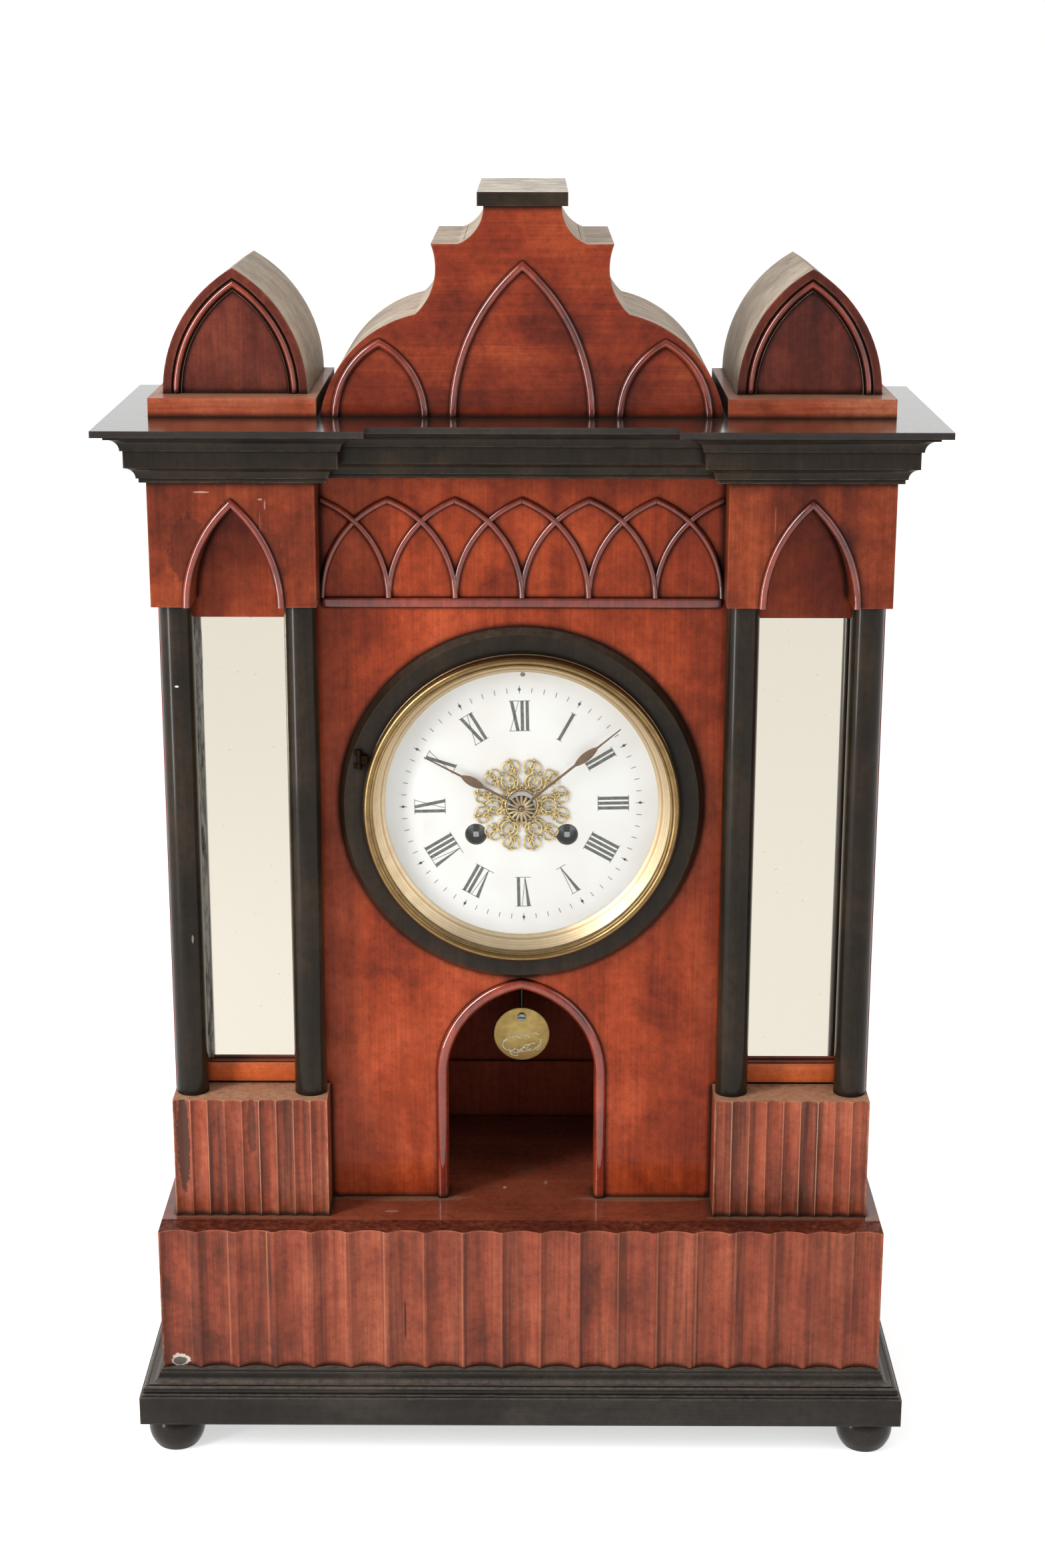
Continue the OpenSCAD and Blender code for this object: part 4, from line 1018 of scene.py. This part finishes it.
    # dial pan: pale spun brass with the rings of the lathe
    pan: AgedMetal = AgedMetal(
        "spun_pan_brass", "#fbe6bd", "#cfa06c", 0.33, grime=0.8, tarnished=0.25, turned_mm=0.9
    )
    # rosette: gilt that has darkened in its depths
    gilt: AgedMetal = AgedMetal("pressed_gilt_brass", "#ffdf90", "#a87a34", 0.2, cloud_mm=2, grime=0.95)
    # hands: brown, hardly shining
    bronze: AgedMetal = AgedMetal("bronzed_hand_steel", "#8a6a4c", "#54402c", 0.38, tarnished=0.6)
    # stamped boss: pale old brass
    boss: AgedMetal = AgedMetal("stamped_boss_brass", "#d9c096", "#8a6540", grime=0.9)
    # pendulum bob: matt yellow
    bob: AgedMetal = AgedMetal(
        "flat_bob_brass", "#e4c67a", "#ab8a45", 0.36, cloud_mm=5, metal=0.7, tarnished=0.35
    )
    # pendulum rod: dark grey
    blued: AgedMetal = AgedMetal("dark_rod_steel", "#43403c", "#2a2622", 0.35)
    # plates, wheels and fittings: plain yellow brass
    brass: AgedMetal = AgedMetal("movement_brass", "#c19c5c", "#92723f")
    # arbors, screws and striking parts: grey and polished
    steel: AgedMetal = AgedMetal("polished_pivot_steel", "#a9abad", "#6f7172", 0.28, tarnished=0.4)
    enamel: FiredEnamel = FiredEnamel()
    mirror: SilveredGlass = SilveredGlass()
    glass: ClearGlass = ClearGlass()
    paint: FiredPaint = FiredPaint()
    made: dict[str, bpy.types.Material] = field(default_factory=dict)

    def of(self, which: str) -> bpy.types.Material:
        """Build a finish the first time that it is asked for.

        Args:
            which: the field's name.

        Returns:
            Its material.
        """
        if which not in self.made:
            self.made[which] = getattr(self, which).build()
        return self.made[which]


# The clock's sub-assemblies


@dataclass
class CadFinish:
    """Finishes for the CAD nodes that keep their own shape."""

    finishes: Finishes
    nodes: dict[str, Piece]
    rows: dict[str, tuple[str, ...]] = field(
        default_factory=lambda: {
            "plinth": ("bun_feet", "plinth"),
            "flute": ("base_front",),
            "side": ("case_sides",),
            "box": ("base_carcass",),
            "pedestal": ("pedestals",),
            "black": ("columns", "dial_surround", "cornice"),
            "cap": ("crest_cap",),
            "slab": ("cornice_top",),
            "block": ("arch_blocks",),
            "front": ("case_front",),
            "mirror": ("mirrors",),
            "niche": ("niche_rails",),
            "plain": ("back_frame", "back_door"),
            "ledge": ("tower_boards",),
            "tower": ("towers",),
            "crest": ("crest",),
            "pan": ("dial_pan",),
            "hinge": ("bezel_hinge",),
            "enamel": ("dial",),
            "glass": ("bezel_glass",),
            "bronze": ("hour_hand", "minute_hand"),
            "blued": ("pendulum_rod",),
            "steel": (
                "rating_screw", "bar_screws", "winding_arbor_going", "winding_arbor_strike", "anchor",
                "hammer", "bell_stand",
            ),
            "brass": (
                "door_fittings", "door_button", "movement_bars", "front_plate", "back_plate", "pillars",
                "cannon_pinion", "center_arbor", "hour_wheel", "minute_wheel", "going_barrel",
                "strike_barrel", "second_wheel", "third_wheel", "escape_wheel", "suspension_cock",
                "count_arbor", "pin_wheel", "fly", "bell",
            ),
        }
    )

    def dress(self) -> None:
        """Give every CAD node its finish."""
        for finish, names in self.rows.items():
            for name in names:
                obj = self.nodes[name]
                if not obj.material_slots:
                    obj.data.materials.append(None)
                for place in obj.material_slots:
                    place.material = self.finishes.of(finish)


@dataclass
class PointedArch:
    """A pointed arch of two equal arcs, struck from its base line, and the bead that follows it.

    The bead runs a little outward of the arcs where that is given. It is made with a spare length below
    its foot, which is cut off, and sunk a little into what carries it.
    """

    half: float
    rise: float
    outward: float = 0.0
    spare: float = 3.0
    sunk: float = 0.15
    steps: int = 26

    @property
    def centre(self) -> float:
        """How far past the middle each arc is struck."""
        return (self.rise**2 - self.half**2) / (2 * self.half)

    @property
    def radius(self) -> float:
        """The arcs' radius."""
        return self.half + self.centre + self.outward

    @property
    def turn(self) -> float:
        """Degrees of each arc, from foot to apex."""
        return math.degrees(math.acos(self.centre / self.radius))

    def half_bead(self, name: str, width: float, high: float, foot: float) -> Piece:
        """Run a round bead up the right side of the arch and cut it at the middle and the foot.

        Args:
            name: the piece's name.
            width: the bead's width.
            high: how far it stands out.
            foot: length of the straight leg below the arc.

        Returns:
            The bead, open where its mirror image joins it, its back in the plane y = 0.
        """
        low = foot + self.spare
        at = self.radius - self.centre
        bpy.ops.mesh.primitive_circle_add(vertices=18, radius=MM, location=(at * MM, 0, -low * MM))
        bpy.context.object.scale = (width / 2, high, 1)
        obj = placed(name)
        with editing(obj):
            bpy.ops.mesh.extrude_region_move(TRANSFORM_OT_translate={"value": (0, 0, low * MM)})
            spin(self.turn + 5, self.steps, -self.centre)
            merge_doubles()
            cut_off((0, 0, 0), (-1, 0, 0), fill=False)
            cut_off((0, 0, -foot), (0, 0, -1))
        return obj

    def bead(self, name: str, at: Point, width: float, high: float, foot: float = 0.0) -> Piece:
        """Make the whole bead with a flat back.

        Args:
            name: the piece's name.
            at: the middle of the arch's base line, in the plane that the bead is planted on.
            width: the bead's width.
            high: how far it stands out.
            foot: length of the straight leg below the arc.

        Returns:
            The bead in its place.
        """
        obj = self.half_bead(name, width, high, foot)
        modified(obj, "MIRROR", use_axis=(True, False, False), merge_threshold=0.01 * MM)
        return self.planted(obj, at)

    def planted(self, obj: Piece, at: Point) -> Piece:
        """Cut a bead flat behind, close it and put it in its place.

        Args:
            obj: the bead, its back in the plane y = 0.
            at: where its base line goes.

        Returns:
            The bead, sunk a little into what carries it.
        """
        with editing(obj):
            cut_off((0, self.sunk, 0), (0, 1, 0))
            close_mesh()
        obj.data.transform(shift(*at))
        return smooth(obj, 50)


@dataclass
class Mouldings:
    """The planted half-round beads and the interlaced tracery of the frieze."""

    finishes: Finishes
    block_x: float = 128.5
    tower_x: float = 129.0
    crest_x: float = 63.4
    pitch: float = 30.3
    reach: int = 3
    frieze_z: float = 409.3
    crest_z: float = 491.2
    tower_z: float = 499.8
    window_z: float = 176.5
    window_leg: float = 64.0
    face: float = -30.5
    crest_y: float = -31.5
    block_y: float = -53.5
    tower_y: float = -17.6

    def build(self) -> None:
        """Model the beads and dress them."""
        bead = self.finishes.of("bead")
        crest, window = PointedArch(30.9, 66.5), PointedArch(35.1, 43.5, 2.75)
        made = [
            crest.bead("crest_bead", (0, self.crest_y, self.crest_z), 3.8, 1.9),
            window.bead("window_bead", (0, self.face, self.window_z), 5.4, 2.2, self.window_leg),
        ]
        # name, half width and rise of the arch, place, width and relief of each bead that has a twin
        pairs = (
            ("crest_side_bead", (19.9, 32.9), (self.crest_x, self.crest_y, self.crest_z), 3.7, 1.85),
            ("block_bead", (21.1, 46.9), (self.block_x, self.block_y, self.frieze_z), 3.5, 1.8),
            ("tower_bead", (26.5, 48.7), (self.tower_x, self.tower_y, self.tower_z), 2.8, 1.8),
        )
        for side in (-1, 1):
            for name, arch, (x, y, z), width, high in pairs:
                made.append(PointedArch(*arch).bead(name, (side * x, y, z), width, high))
        dressed(joined("planted_beads", made), bead, stands_for=("arch_beads",))
        dressed(self.tracery(), bead, stands_for=("frieze_lattice",))
        LOG.info("modelled the beads")

    def tracery(self) -> Piece:
        """Interlace the arches: legs that fall to the right pass over the others.

        Returns:
            The tracery with its rail.
        """
        arch = PointedArch(self.pitch, 44.5)
        legs = []
        over = self.closed_leg(arch, "tracery_leg", 3.1, 1.9)
        under = self.closed_leg(arch, "tracery_under_leg", 3.0, 1.45)
        under.data.transform(Matrix.Scale(-1, 4, (1, 0, 0)))
        under.data.flip_normals()
        for i in range(-self.reach, self.reach + 1):
            at = shift(i * self.pitch, self.face, self.frieze_z)
            if i < self.reach:
                legs.append(copied(over, "tracery_leg", at))
            if i > -self.reach:
                legs.append(copied(under, "tracery_leg", at))
        for master in (over, under):
            bpy.data.objects.remove(master)
        middle = Vector((0, self.face - 0.75, self.frieze_z - 2.25)) * MM
        bpy.ops.mesh.primitive_cube_add(size=MM, location=middle)
        bpy.context.object.scale = (2 * self.reach * self.pitch, 1.7, 4.4)
        rail = modified(placed("tracery_rail"), "BEVEL", width=0.7 * MM, segments=3)
        return joined("frieze_tracery", [smooth(rail), *legs])

    def closed_leg(self, arch: PointedArch, name: str, width: float, high: float) -> Piece:
        """Make one leg of the tracery, closed at its mitre.

        Args:
            arch: the arch that the leg is half of.
            name: the piece's name.
            width: the leg's width.
            high: how far it stands out.

        Returns:
            The leg, its arch's base line at the origin.
        """
        obj = arch.half_bead(name, width, high, 0)
        with editing(obj):
            cut_off((0, 0, 0), (-1, 0, 0))
        return arch.planted(obj, (0, 0, 0))


class Stroke(Enum):
    """Widths at the two ends of a numeral's strokes."""

    BAR = (1.5, 1.5)
    TAPER = (1.7, 0.35)
    HAIR = (0.26, 0.26)
    DASH = (0.3, 0.3)


@dataclass
class DialArt:
    """Everything painted or pinned on the dial: numerals, minute marks and the pierced centre."""

    finishes: Finishes
    centre: Spot = (0.0, 311.3)
    front: float = -31.0
    numeral_r: float = 42.6
    tall: float = 14.2
    mark_r: float = 54.8
    pearl_r: float = 0.75
    boss_y: float = -37.4
    petals: int = 16
    bezel_rings: tuple[tuple[str, float, Spot, float], ...] = (
        ("bezel_torus", 71.2, (2.15, 3.4), -40.8),
        ("bezel_fillet", 69.7, (1.0, 1.9), -39.3),
        ("bezel_lip", 69.3, (0.7, 0.9), -42.6),
    )
    hinge: Point = (-74.6, -37.9, 334.7)
    skew: float = 1.2
    paint: float = 0.03
    numerals: tuple[str, ...] = (
        "XII", "I", "II", "III", "IIII", "V", "VI", "VII", "VIII", "IX", "X", "XI"
    )
    advance: dict[str, float] = field(default_factory=lambda: {"I": 2.35, "V": 4.4, "X": 4.6})
    insets: tuple[float, float, float] = (0.9, 0.4, 0.3)

    def build(self) -> None:
        """Model the numerals, the marks and the rosette and dress them."""
        paint = self.finishes.of("paint")
        dressed(joined("hour_numerals", [p for h in range(12) for p in self.numeral(h)]), paint)
        dressed(joined("minute_marks", self.marks()), paint)
        dressed(self.rosette(), self.finishes.of("gilt"), stands_for=("rosette",))
        dressed(self.daisy(), self.finishes.of("boss"), "minute", ("center_boss",))
        self.bezel()
        LOG.info("painted the dial")

    def radial(self, degrees: float) -> Matrix:
        """Where a drawing stands on the dial, its top outward at an angle from the right."""
        return shift(self.centre[0], self.front - self.paint, self.centre[1]) @ about_y(degrees - 90)

    def stroke(self, kind: Stroke, start: Spot, end: Spot, at: Matrix) -> Piece:
        """Lay one flat stroke.

        Args:
            kind: its widths.
            start: its first end in the drawing.
            end: its other end.
            at: where the drawing goes.

        Returns:
            The stroke.
        """
        a, b = Vector((start[0], 0, start[1])), Vector((end[0], 0, end[1]))
        tail, tip = (width * MM / math.sqrt(2) for width in kind.value)
        square = (0, 0, math.pi / 4)
        bpy.ops.mesh.primitive_cone_add(
            vertices=4, radius1=tail, radius2=tip, depth=(b - a).length * MM, rotation=square
        )
        obj = placed("stroke")
        lean = math.atan2(b.x - a.x, b.z - a.z)
        flat = Matrix.Scale(2 * self.paint / max(kind.value), 4, (0, 1, 0))
        middle = (a + b) / 2
        obj.data.transform(at @ shift(middle.x, 0, middle.z) @ Matrix.Rotation(lean, 4, "Y") @ flat)
        return obj

    def numeral(self, hour: int) -> list[Piece]:
        """Draw one hour's numeral, its feet toward the middle.

        Args:
            hour: the hour, nought for twelve.

        Returns:
            Its strokes.
        """
        text = self.numerals[hour]
        at = self.radial(90 - 30 * hour + self.skew) @ shift(0, 0, self.numeral_r)
        wide = sum(self.advance[c] for c in text)
        top, foot, u = self.tall / 2, -self.tall / 2, -wide / 2
        thick, thin, serif = self.insets
        strokes = []
        for letter in text:
            end = u + self.advance[letter]
            mid = (u + end) / 2
            if letter == "I":
                strokes.append((Stroke.BAR, (mid, foot), (mid, top)))
            elif letter == "V":
                strokes.append((Stroke.TAPER, (u + thick, top), (mid + serif, foot)))
                strokes.append((Stroke.HAIR, (mid + serif, foot), (end - thin, top)))
            else:
                strokes.append((Stroke.BAR, (u + thick, top), (end - thick, foot)))
                strokes.append((Stroke.HAIR, (end - thin, top), (u + thin / 2, foot)))
            u = end
        reach = wide / 2 + serif
        strokes += [(Stroke.HAIR, (-reach, edge), (reach, edge)) for edge in (foot, top)]
        return [self.stroke(*stroke, at) for stroke in strokes]

    def marks(self) -> list[Piece]:
        """Draw the minute dashes and the hour diamonds.

        Returns:
            The marks.
        """
        parts = []
        for minute in range(60):
            at = self.radial(90 - 6 * minute + self.skew)
            if minute % 5:
                parts.append(self.stroke(Stroke.DASH, (0, self.mark_r - 1.2), (0, self.mark_r + 1.2), at))
                continue
            diamond = disc("diamond", 4, 0.75, 2 * self.paint)
            diamond.data.transform(at @ shift(0, 0, self.mark_r + 0.3) @ Matrix.Scale(1.5, 4, (0, 0, 1)))
            parts += [diamond, self.stroke(Stroke.HAIR, (0, self.mark_r - 1.6), (0, self.mark_r + 2.0), at)]
        return parts

    def wire(self, ring: float, thick: float, turn: float = 360.0) -> Piece:
        """Bend a wire ring or part of one, in the plane of the dial.

        Args:
            ring: its radius.
            thick: the wire's radius.
            turn: degrees of the ring, from the right.

        Returns:
            The ring about the origin.
        """
        ends = "NOTHING" if turn >= 360 else "NGON"
        at = (ring * MM, 0, 0)
        bpy.ops.mesh.primitive_circle_add(vertices=7, radius=thick * MM, location=at, fill_type=ends)
        obj = placed("rosette_ring")
        with editing(obj):
            spin(turn, int(turn / 20))
            close_mesh()
        return obj

    def ring(self, name: str, radius: float, half: Spot, y: float) -> Piece:
        """Turn a ring of oval section round the dial.

        Args:
            name: the ring's name.
            radius: from the dial's middle to the middle of the section.
            half: the section's half width and half depth.
            y: the depth of the section's middle.

        Returns:
            The ring in its place.
        """
        bpy.ops.mesh.primitive_circle_add(vertices=20, radius=MM, location=(radius * MM, y * MM, 0))
        bpy.context.object.scale = (half[0], half[1], 1)
        obj = placed(name)
        with editing(obj):
            spin(360, 144)
            close_mesh()
        obj.data.transform(shift(self.centre[0], 0, self.centre[1]))
        return smooth(obj, 60)

    def bezel(self) -> None:
        """Turn the bezel with its fillet and lip, and make the knuckle that it swings on."""
        turned = joined("turned_bezel", [self.ring(*row) for row in self.bezel_rings])
        dressed(turned, self.finishes.of("bezel"), "bezel", ("bezel",))
        tall, edge = 3.9, 0.2 * MM
        at = Vector(self.hinge) * MM
        bpy.ops.mesh.primitive_cylinder_add(vertices=20, radius=1.1 * MM, depth=tall * MM, location=at)
        knuckle = modified(placed("bezel_barrel"), "BEVEL", width=edge, segments=2, limit_method="ANGLE")
        bpy.ops.mesh.primitive_cube_add(size=MM, location=at + Vector((2.2 * MM, 0, 0)))
        bpy.context.object.scale = (3.6, 1.0, tall)
        tab = modified(placed("bezel_tab"), "BEVEL", width=edge, segments=2)
        whole = joined("bezel_knuckle", [smooth(knuckle), tab])
        dressed(whole, self.finishes.of("hinge"), "bezel")

    def daisy(self) -> Piece:
        """Stamp the fluted boss that holds the minute hand, petal by petal.

        Returns:
            The boss.
        """
        bpy.ops.mesh.primitive_uv_sphere_add(segments=12, ring_count=8, radius=MM)
        bpy.context.object.scale = (2.9, 0.75, 0.72)
        petal = placed("daisy_petal")
        with editing(petal):
            cut_off((0, 0.5, 0), (0, 1, 0))
        plate = disc("daisy_plate", 40, 6.2, 1.3)
        modified(plate, "BEVEL", width=0.5 * MM, segments=3, limit_method="ANGLE")
        bpy.ops.mesh.primitive_uv_sphere_add(segments=16, ring_count=8, radius=1.25 * MM)
        pin = placed("daisy_pin")
        level = shift(self.centre[0], self.boss_y, self.centre[1])
        plate.data.transform(level @ shift(0, 0.35, 0))
        pin.data.transform(level @ shift(0, -0.75, 0))
        spread = (level @ about_y(360 / self.petals * i) @ shift(3.9, -0.35, 0) for i in range(self.petals))
        petals = [copied(petal, "p", at) for at in spread]
        bpy.data.objects.remove(petal)
        dressed(smooth(plate), self.finishes.of("hinge"), "minute")
        return smooth(joined("fluted_boss", [pin, *petals]), 50)

    def rosette(self) -> Piece:
        """Build the pierced gilt centre from scrolls, rings and pearls.

        Returns:
            The rosette.
        """
        lobe, curl = self.wire(2.7, 0.46, 290), self.wire(1.15, 0.4, 300)
        medal, link = self.wire(3.9, 0.46, 300), self.wire(1.9, 0.4, 270)
        hub, rim = self.wire(7.4, 0.6), self.wire(3.7, 0.5)
        bpy.ops.mesh.primitive_uv_sphere_add(segments=8, ring_count=6, radius=self.pearl_r * MM)
        pearl = placed("rosette_pearl")
        level = shift(self.centre[0], self.front - self.pearl_r, self.centre[1])
        parts = [copied(hub, "r", level), copied(rim, "r", level)]
        # twice each ray: the wire, how far out and aside it goes, its turn and its size
        rays = ((lobe, 19.3, 1.5, -150, 0.86), (curl, 16.4, 1.9, 60, 1.0))
        leaves = (
            (medal, 12.6, 0.9, 40, 1.0), (link, 9.6, 3.9, 120, 1.0), (curl, 13.2, 2.0, 200, 1.0),
            (curl, 16.3, 5.1, 150, 1.0),
        )
        for count, first, wires, pearls in ((12, 15, rays, (22.3, 8.2)), (6, 0, leaves, (17.6, 10.6))):
            for i in range(count):
                at = level @ about_y(360 / count * i + first)
                for side in (-1, 1):
                    flip = Matrix.Scale(side, 4, (0, 0, 1))
                    for wire, out, aside, turn, size in wires:
                        bent = about_y(turn) @ Matrix.Scale(size, 4)
                        parts.append(copied(wire, "r", at @ flip @ shift(out, 0, aside) @ bent))
                parts += [copied(pearl, "r", at @ shift(out, 0, 0)) for out in pearls]
        for i in range(12):
            bent = about_y(90 + 30 * (i % 2)) @ Matrix.Scale(0.56, 4)
            parts.append(copied(medal, "r", level @ about_y(30 * i + 15) @ shift(9.4, 0, 0) @ bent))
        for master in (lobe, curl, medal, link, hub, rim, pearl):
            bpy.data.objects.remove(master)
        return smooth(joined("pierced_rosette", parts), 60)


@dataclass
class Bob:
    """The flat pendulum bob with its engraved scroll."""

    finishes: Finishes
    centre: Point = (0.0, 29.0, 174.3)
    radius: float = 14.1
    thick: float = 3.6
    line: float = 0.4
    proud: float = 0.05
    scroll: tuple[tuple[float, float, float, float, float], ...] = (
        (-5.0, -4.2, 4.6, 20, 150), (-1.0, -3.4, 5.0, 15, 130), (4.4, -2.6, 4.6, 25, 120),
        (-6.2, -7.0, 3.0, 170, 180), (-2.6, -7.6, 3.8, 185, 150), (1.6, -6.6, 4.2, 200, 130),
        (5.6, -6.2, 3.4, 215, 140), (2.2, -9.6, 4.4, 60, 100), (4.8, -8.6, 4.0, 62, 100),
        (0.2, -10.4, 3.4, 58, 110), (7.6, -4.4, 3.2, 250, 140), (-8.0, -5.0, 2.0, 60, 170),
        (-3.6, -10.2, 2.2, 160, 160), (8.0, -6.8, 1.8, 240, 120),
    )

    def build(self) -> None:
        """Turn the bob, engrave it and hang it on the pendulum."""
        bob = disc("bob_disc", 96, self.radius, self.thick)
        modified(bob, "BEVEL", width=0.45 * MM, segments=3, limit_method="ANGLE")
        smooth(bob)
        scroll = joined("engraved_scroll", [self.engraved(*stroke) for stroke in self.scroll])
        for obj, finish, nodes in ((bob, "bob", ("pendulum_bob",)), (scroll, "scroll", ())):
            obj.data.transform(shift(*self.centre))
            dressed(obj, self.finishes.of(finish), "pendulum", nodes)
        LOG.info("engraved the bob")

    def engraved(self, x: float, z: float, bend: float, turn: float, arc: float) -> Piece:
        """Draw one bright stroke of the scroll, a flat bow on the face of the bob.

        Args:
            x: where the middle of its bow lies, to the right of the bob's middle.
            z: the same, above the bob's middle.
            bend: the radius of the bow.
            turn: degrees from the right at which it starts.
            arc: degrees that it runs.

        Returns:
            The stroke, about the bob's middle.
        """
        at = (bend * MM, 0, 0)
        bpy.ops.mesh.primitive_circle_add(vertices=6, radius=self.line * MM, location=at, fill_type="NGON")
        obj = placed("scroll")
        with editing(obj):
            spin(arc, 14)
            close_mesh()
        flat = Matrix.Scale(0.25, 4, (0, 1, 0)) @ Matrix.Scale(0.6, 4, (0, 0, 1))
        obj.data.transform(shift(x, -self.thick / 2 - self.proud, z) @ about_y(turn) @ flat)
        return smooth(obj, 60)


@dataclass(frozen=True)
class WhitePaper(Finish):
    """Matt white paper, which mirrors see evenly lit and the camera sees with the clock's shadow."""

    name: str = "white_paper_floor"
    shown: float = 0.55
    mirrored: float = 0.72

    def surface(self, tree: Tree, place: Socket) -> dict:
        """Light the paper for the camera and for mirrors.

        Args:
            tree: the material's node tree.
            place: object coordinates, which plain paper does not use.

        Returns:
            The shader's inputs by name.
        """
        ray = node(tree, "LightPath").node.outputs
        glow = node(tree, "Math", (ray["Is Camera Ray"], self.shown), operation="MULTIPLY")
        paper = ((0.0, (0.9, 0.9, 0.89, 1.0)), (1.0, 0.22))
        lit = (ray["Is Glossy Ray"], self.mirrored, glow)
        return {
            "Base Color": node(tree, "ValToRGB", (ray["Is Glossy Ray"],), stops=paper),
            "Emission Color": (1, 1, 1, 1),
            "Emission Strength": node(tree, "Math", lit, operation="MULTIPLY_ADD"),
            "Roughness": 0.9,
            "Specular IOR Level": 0.1,
        }


@dataclass
class Studio:
    """White floor, soft daylight and the camera of the photograph."""

    eye: Point = (4.072, -1192.216, 656.508)
    yaw: float = -0.0031594
    pitch: float = 0.2810424
    roll: float = 0.0015724
    lens: float = 59.887
    sky: float = 0.64
    room: float = 0.3
    lamps: tuple[tuple[str, Point, Spot, float], ...] = (
        ("key_softbox", (-1300, -900, 1300), (900, 1000), 7.8),
        ("strip_softbox", (-760, -560, 560), (170, 1100), 8.0),
        ("fill_softbox", (1300, -700, 800), (900, 1200), 4.4),
    )
    aim: Point = (0, 0, 250)
    floor_m: float = 64

    def build(self) -> None:
        """Make the floor, the lights and the camera."""
        self.floor()
        self.world()
        for row in self.lamps:
            self.lamp(*row)
        self.camera()

    def floor(self) -> None:
        """Lay a white floor that keeps the clock's shadow."""
        bpy.ops.mesh.primitive_plane_add(size=self.floor_m, location=(0, 0, 0))
        obj = placed("studio_floor")
        with editing(obj):
            bpy.ops.mesh.subdivide(number_cuts=3)
        obj.data.materials.append(WhitePaper().build())

    def world(self) -> None:
        """Fill the room with white that lights things less than it shows."""
        world = bpy.data.worlds.new("white_room")
        bpy.context.scene.world = world
        world.use_nodes = True
        tree = world.node_tree
        ray = node(tree, "LightPath").node.outputs
        seen = node(tree, "Math", (ray["Is Camera Ray"], ray["Is Transmission Ray"]), operation="MAXIMUM")
        # polished faces see a bright wall behind the clock and a dimmer room in front of it
        ahead = node(tree, "SeparateXYZ", (node(tree, "TexCoord", out="Generated"),), "Y")
        depth = node(tree, "Math", (ahead, 0.5, 0.5), operation="MULTIPLY_ADD")
        wall = node(tree, "ValToRGB", (depth,), stops=((0.4, self.room), (0.75, 1)))
        lit = node(tree, "Mix", {0: ray["Is Glossy Ray"], 2: self.sky, 3: wall})
        strength = node(tree, "Mix", {0: seen, 2: lit, 3: 1.0})
        feed(tree, tree.nodes["Background"], {"Color": (1, 1, 1, 1), "Strength": strength})

    def lamp(self, name: str, at: Point, size: Spot, watts: float) -> None:
        """Add a soft box that faces the middle of the clock.

        Args:
            name: the lamp's name.
            at: its place in millimetres.
            size: its width and height in millimetres.
            watts: its power.
        """
        data = bpy.data.lights.new(name, "AREA")
        data.shape = "RECTANGLE"
        data.size, data.size_y = size[0] * MM, size[1] * MM
        data.energy = watts
        obj = bpy.data.objects.new(name, data)
        obj.location = Vector(at) * MM
        obj.rotation_euler = (Vector(self.aim) * MM - obj.location).to_track_quat("-Z", "Y").to_euler()
        bpy.context.scene.collection.objects.link(obj)

    def camera(self) -> None:
        """Stand the camera where the photograph was taken."""
        (cy, cp, cr), (sy, sp, sr) = (
            tuple(wave(angle) for angle in (self.yaw, self.pitch, self.roll)) for wave in (math.cos, math.sin)
        )
        ahead = Vector((sy * cp, cy * cp, -sp))
        right = Vector((cy, -sy, 0))
        up = right.cross(ahead)
        data = bpy.data.cameras.new("photo_camera")
        data.sensor_fit = "AUTO"
        data.sensor_width = 36
        data.lens = self.lens
        data.clip_start, data.clip_end = 0.01, 50
        obj = bpy.data.objects.new("photo_camera", data)
        side, top = right * cr + up * sr, up * cr - right * sr
        turn = Matrix((side, top, -ahead)).transposed().to_4x4()
        obj.matrix_world = Matrix.Translation(Vector(self.eye) * MM) @ turn
        bpy.context.scene.collection.objects.link(obj)
        bpy.context.scene.camera = obj


def main() -> None:
    """Build the clock's looks in order and report each step."""
    logging.basicConfig(level=logging.INFO, format="%(message)s")
    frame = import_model()
    bpy.context.scene.view_settings.view_transform = "Standard"
    finishes = Finishes()
    CadFinish(finishes, frame["nodes"]).dress()
    LOG.info("dressed the CAD nodes")
    Mouldings(finishes).build()
    DialArt(finishes).build()
    Bob(finishes).build()
    Studio().build()
    LOG.info("built the studio")


if __name__ == "__main__":
    main()
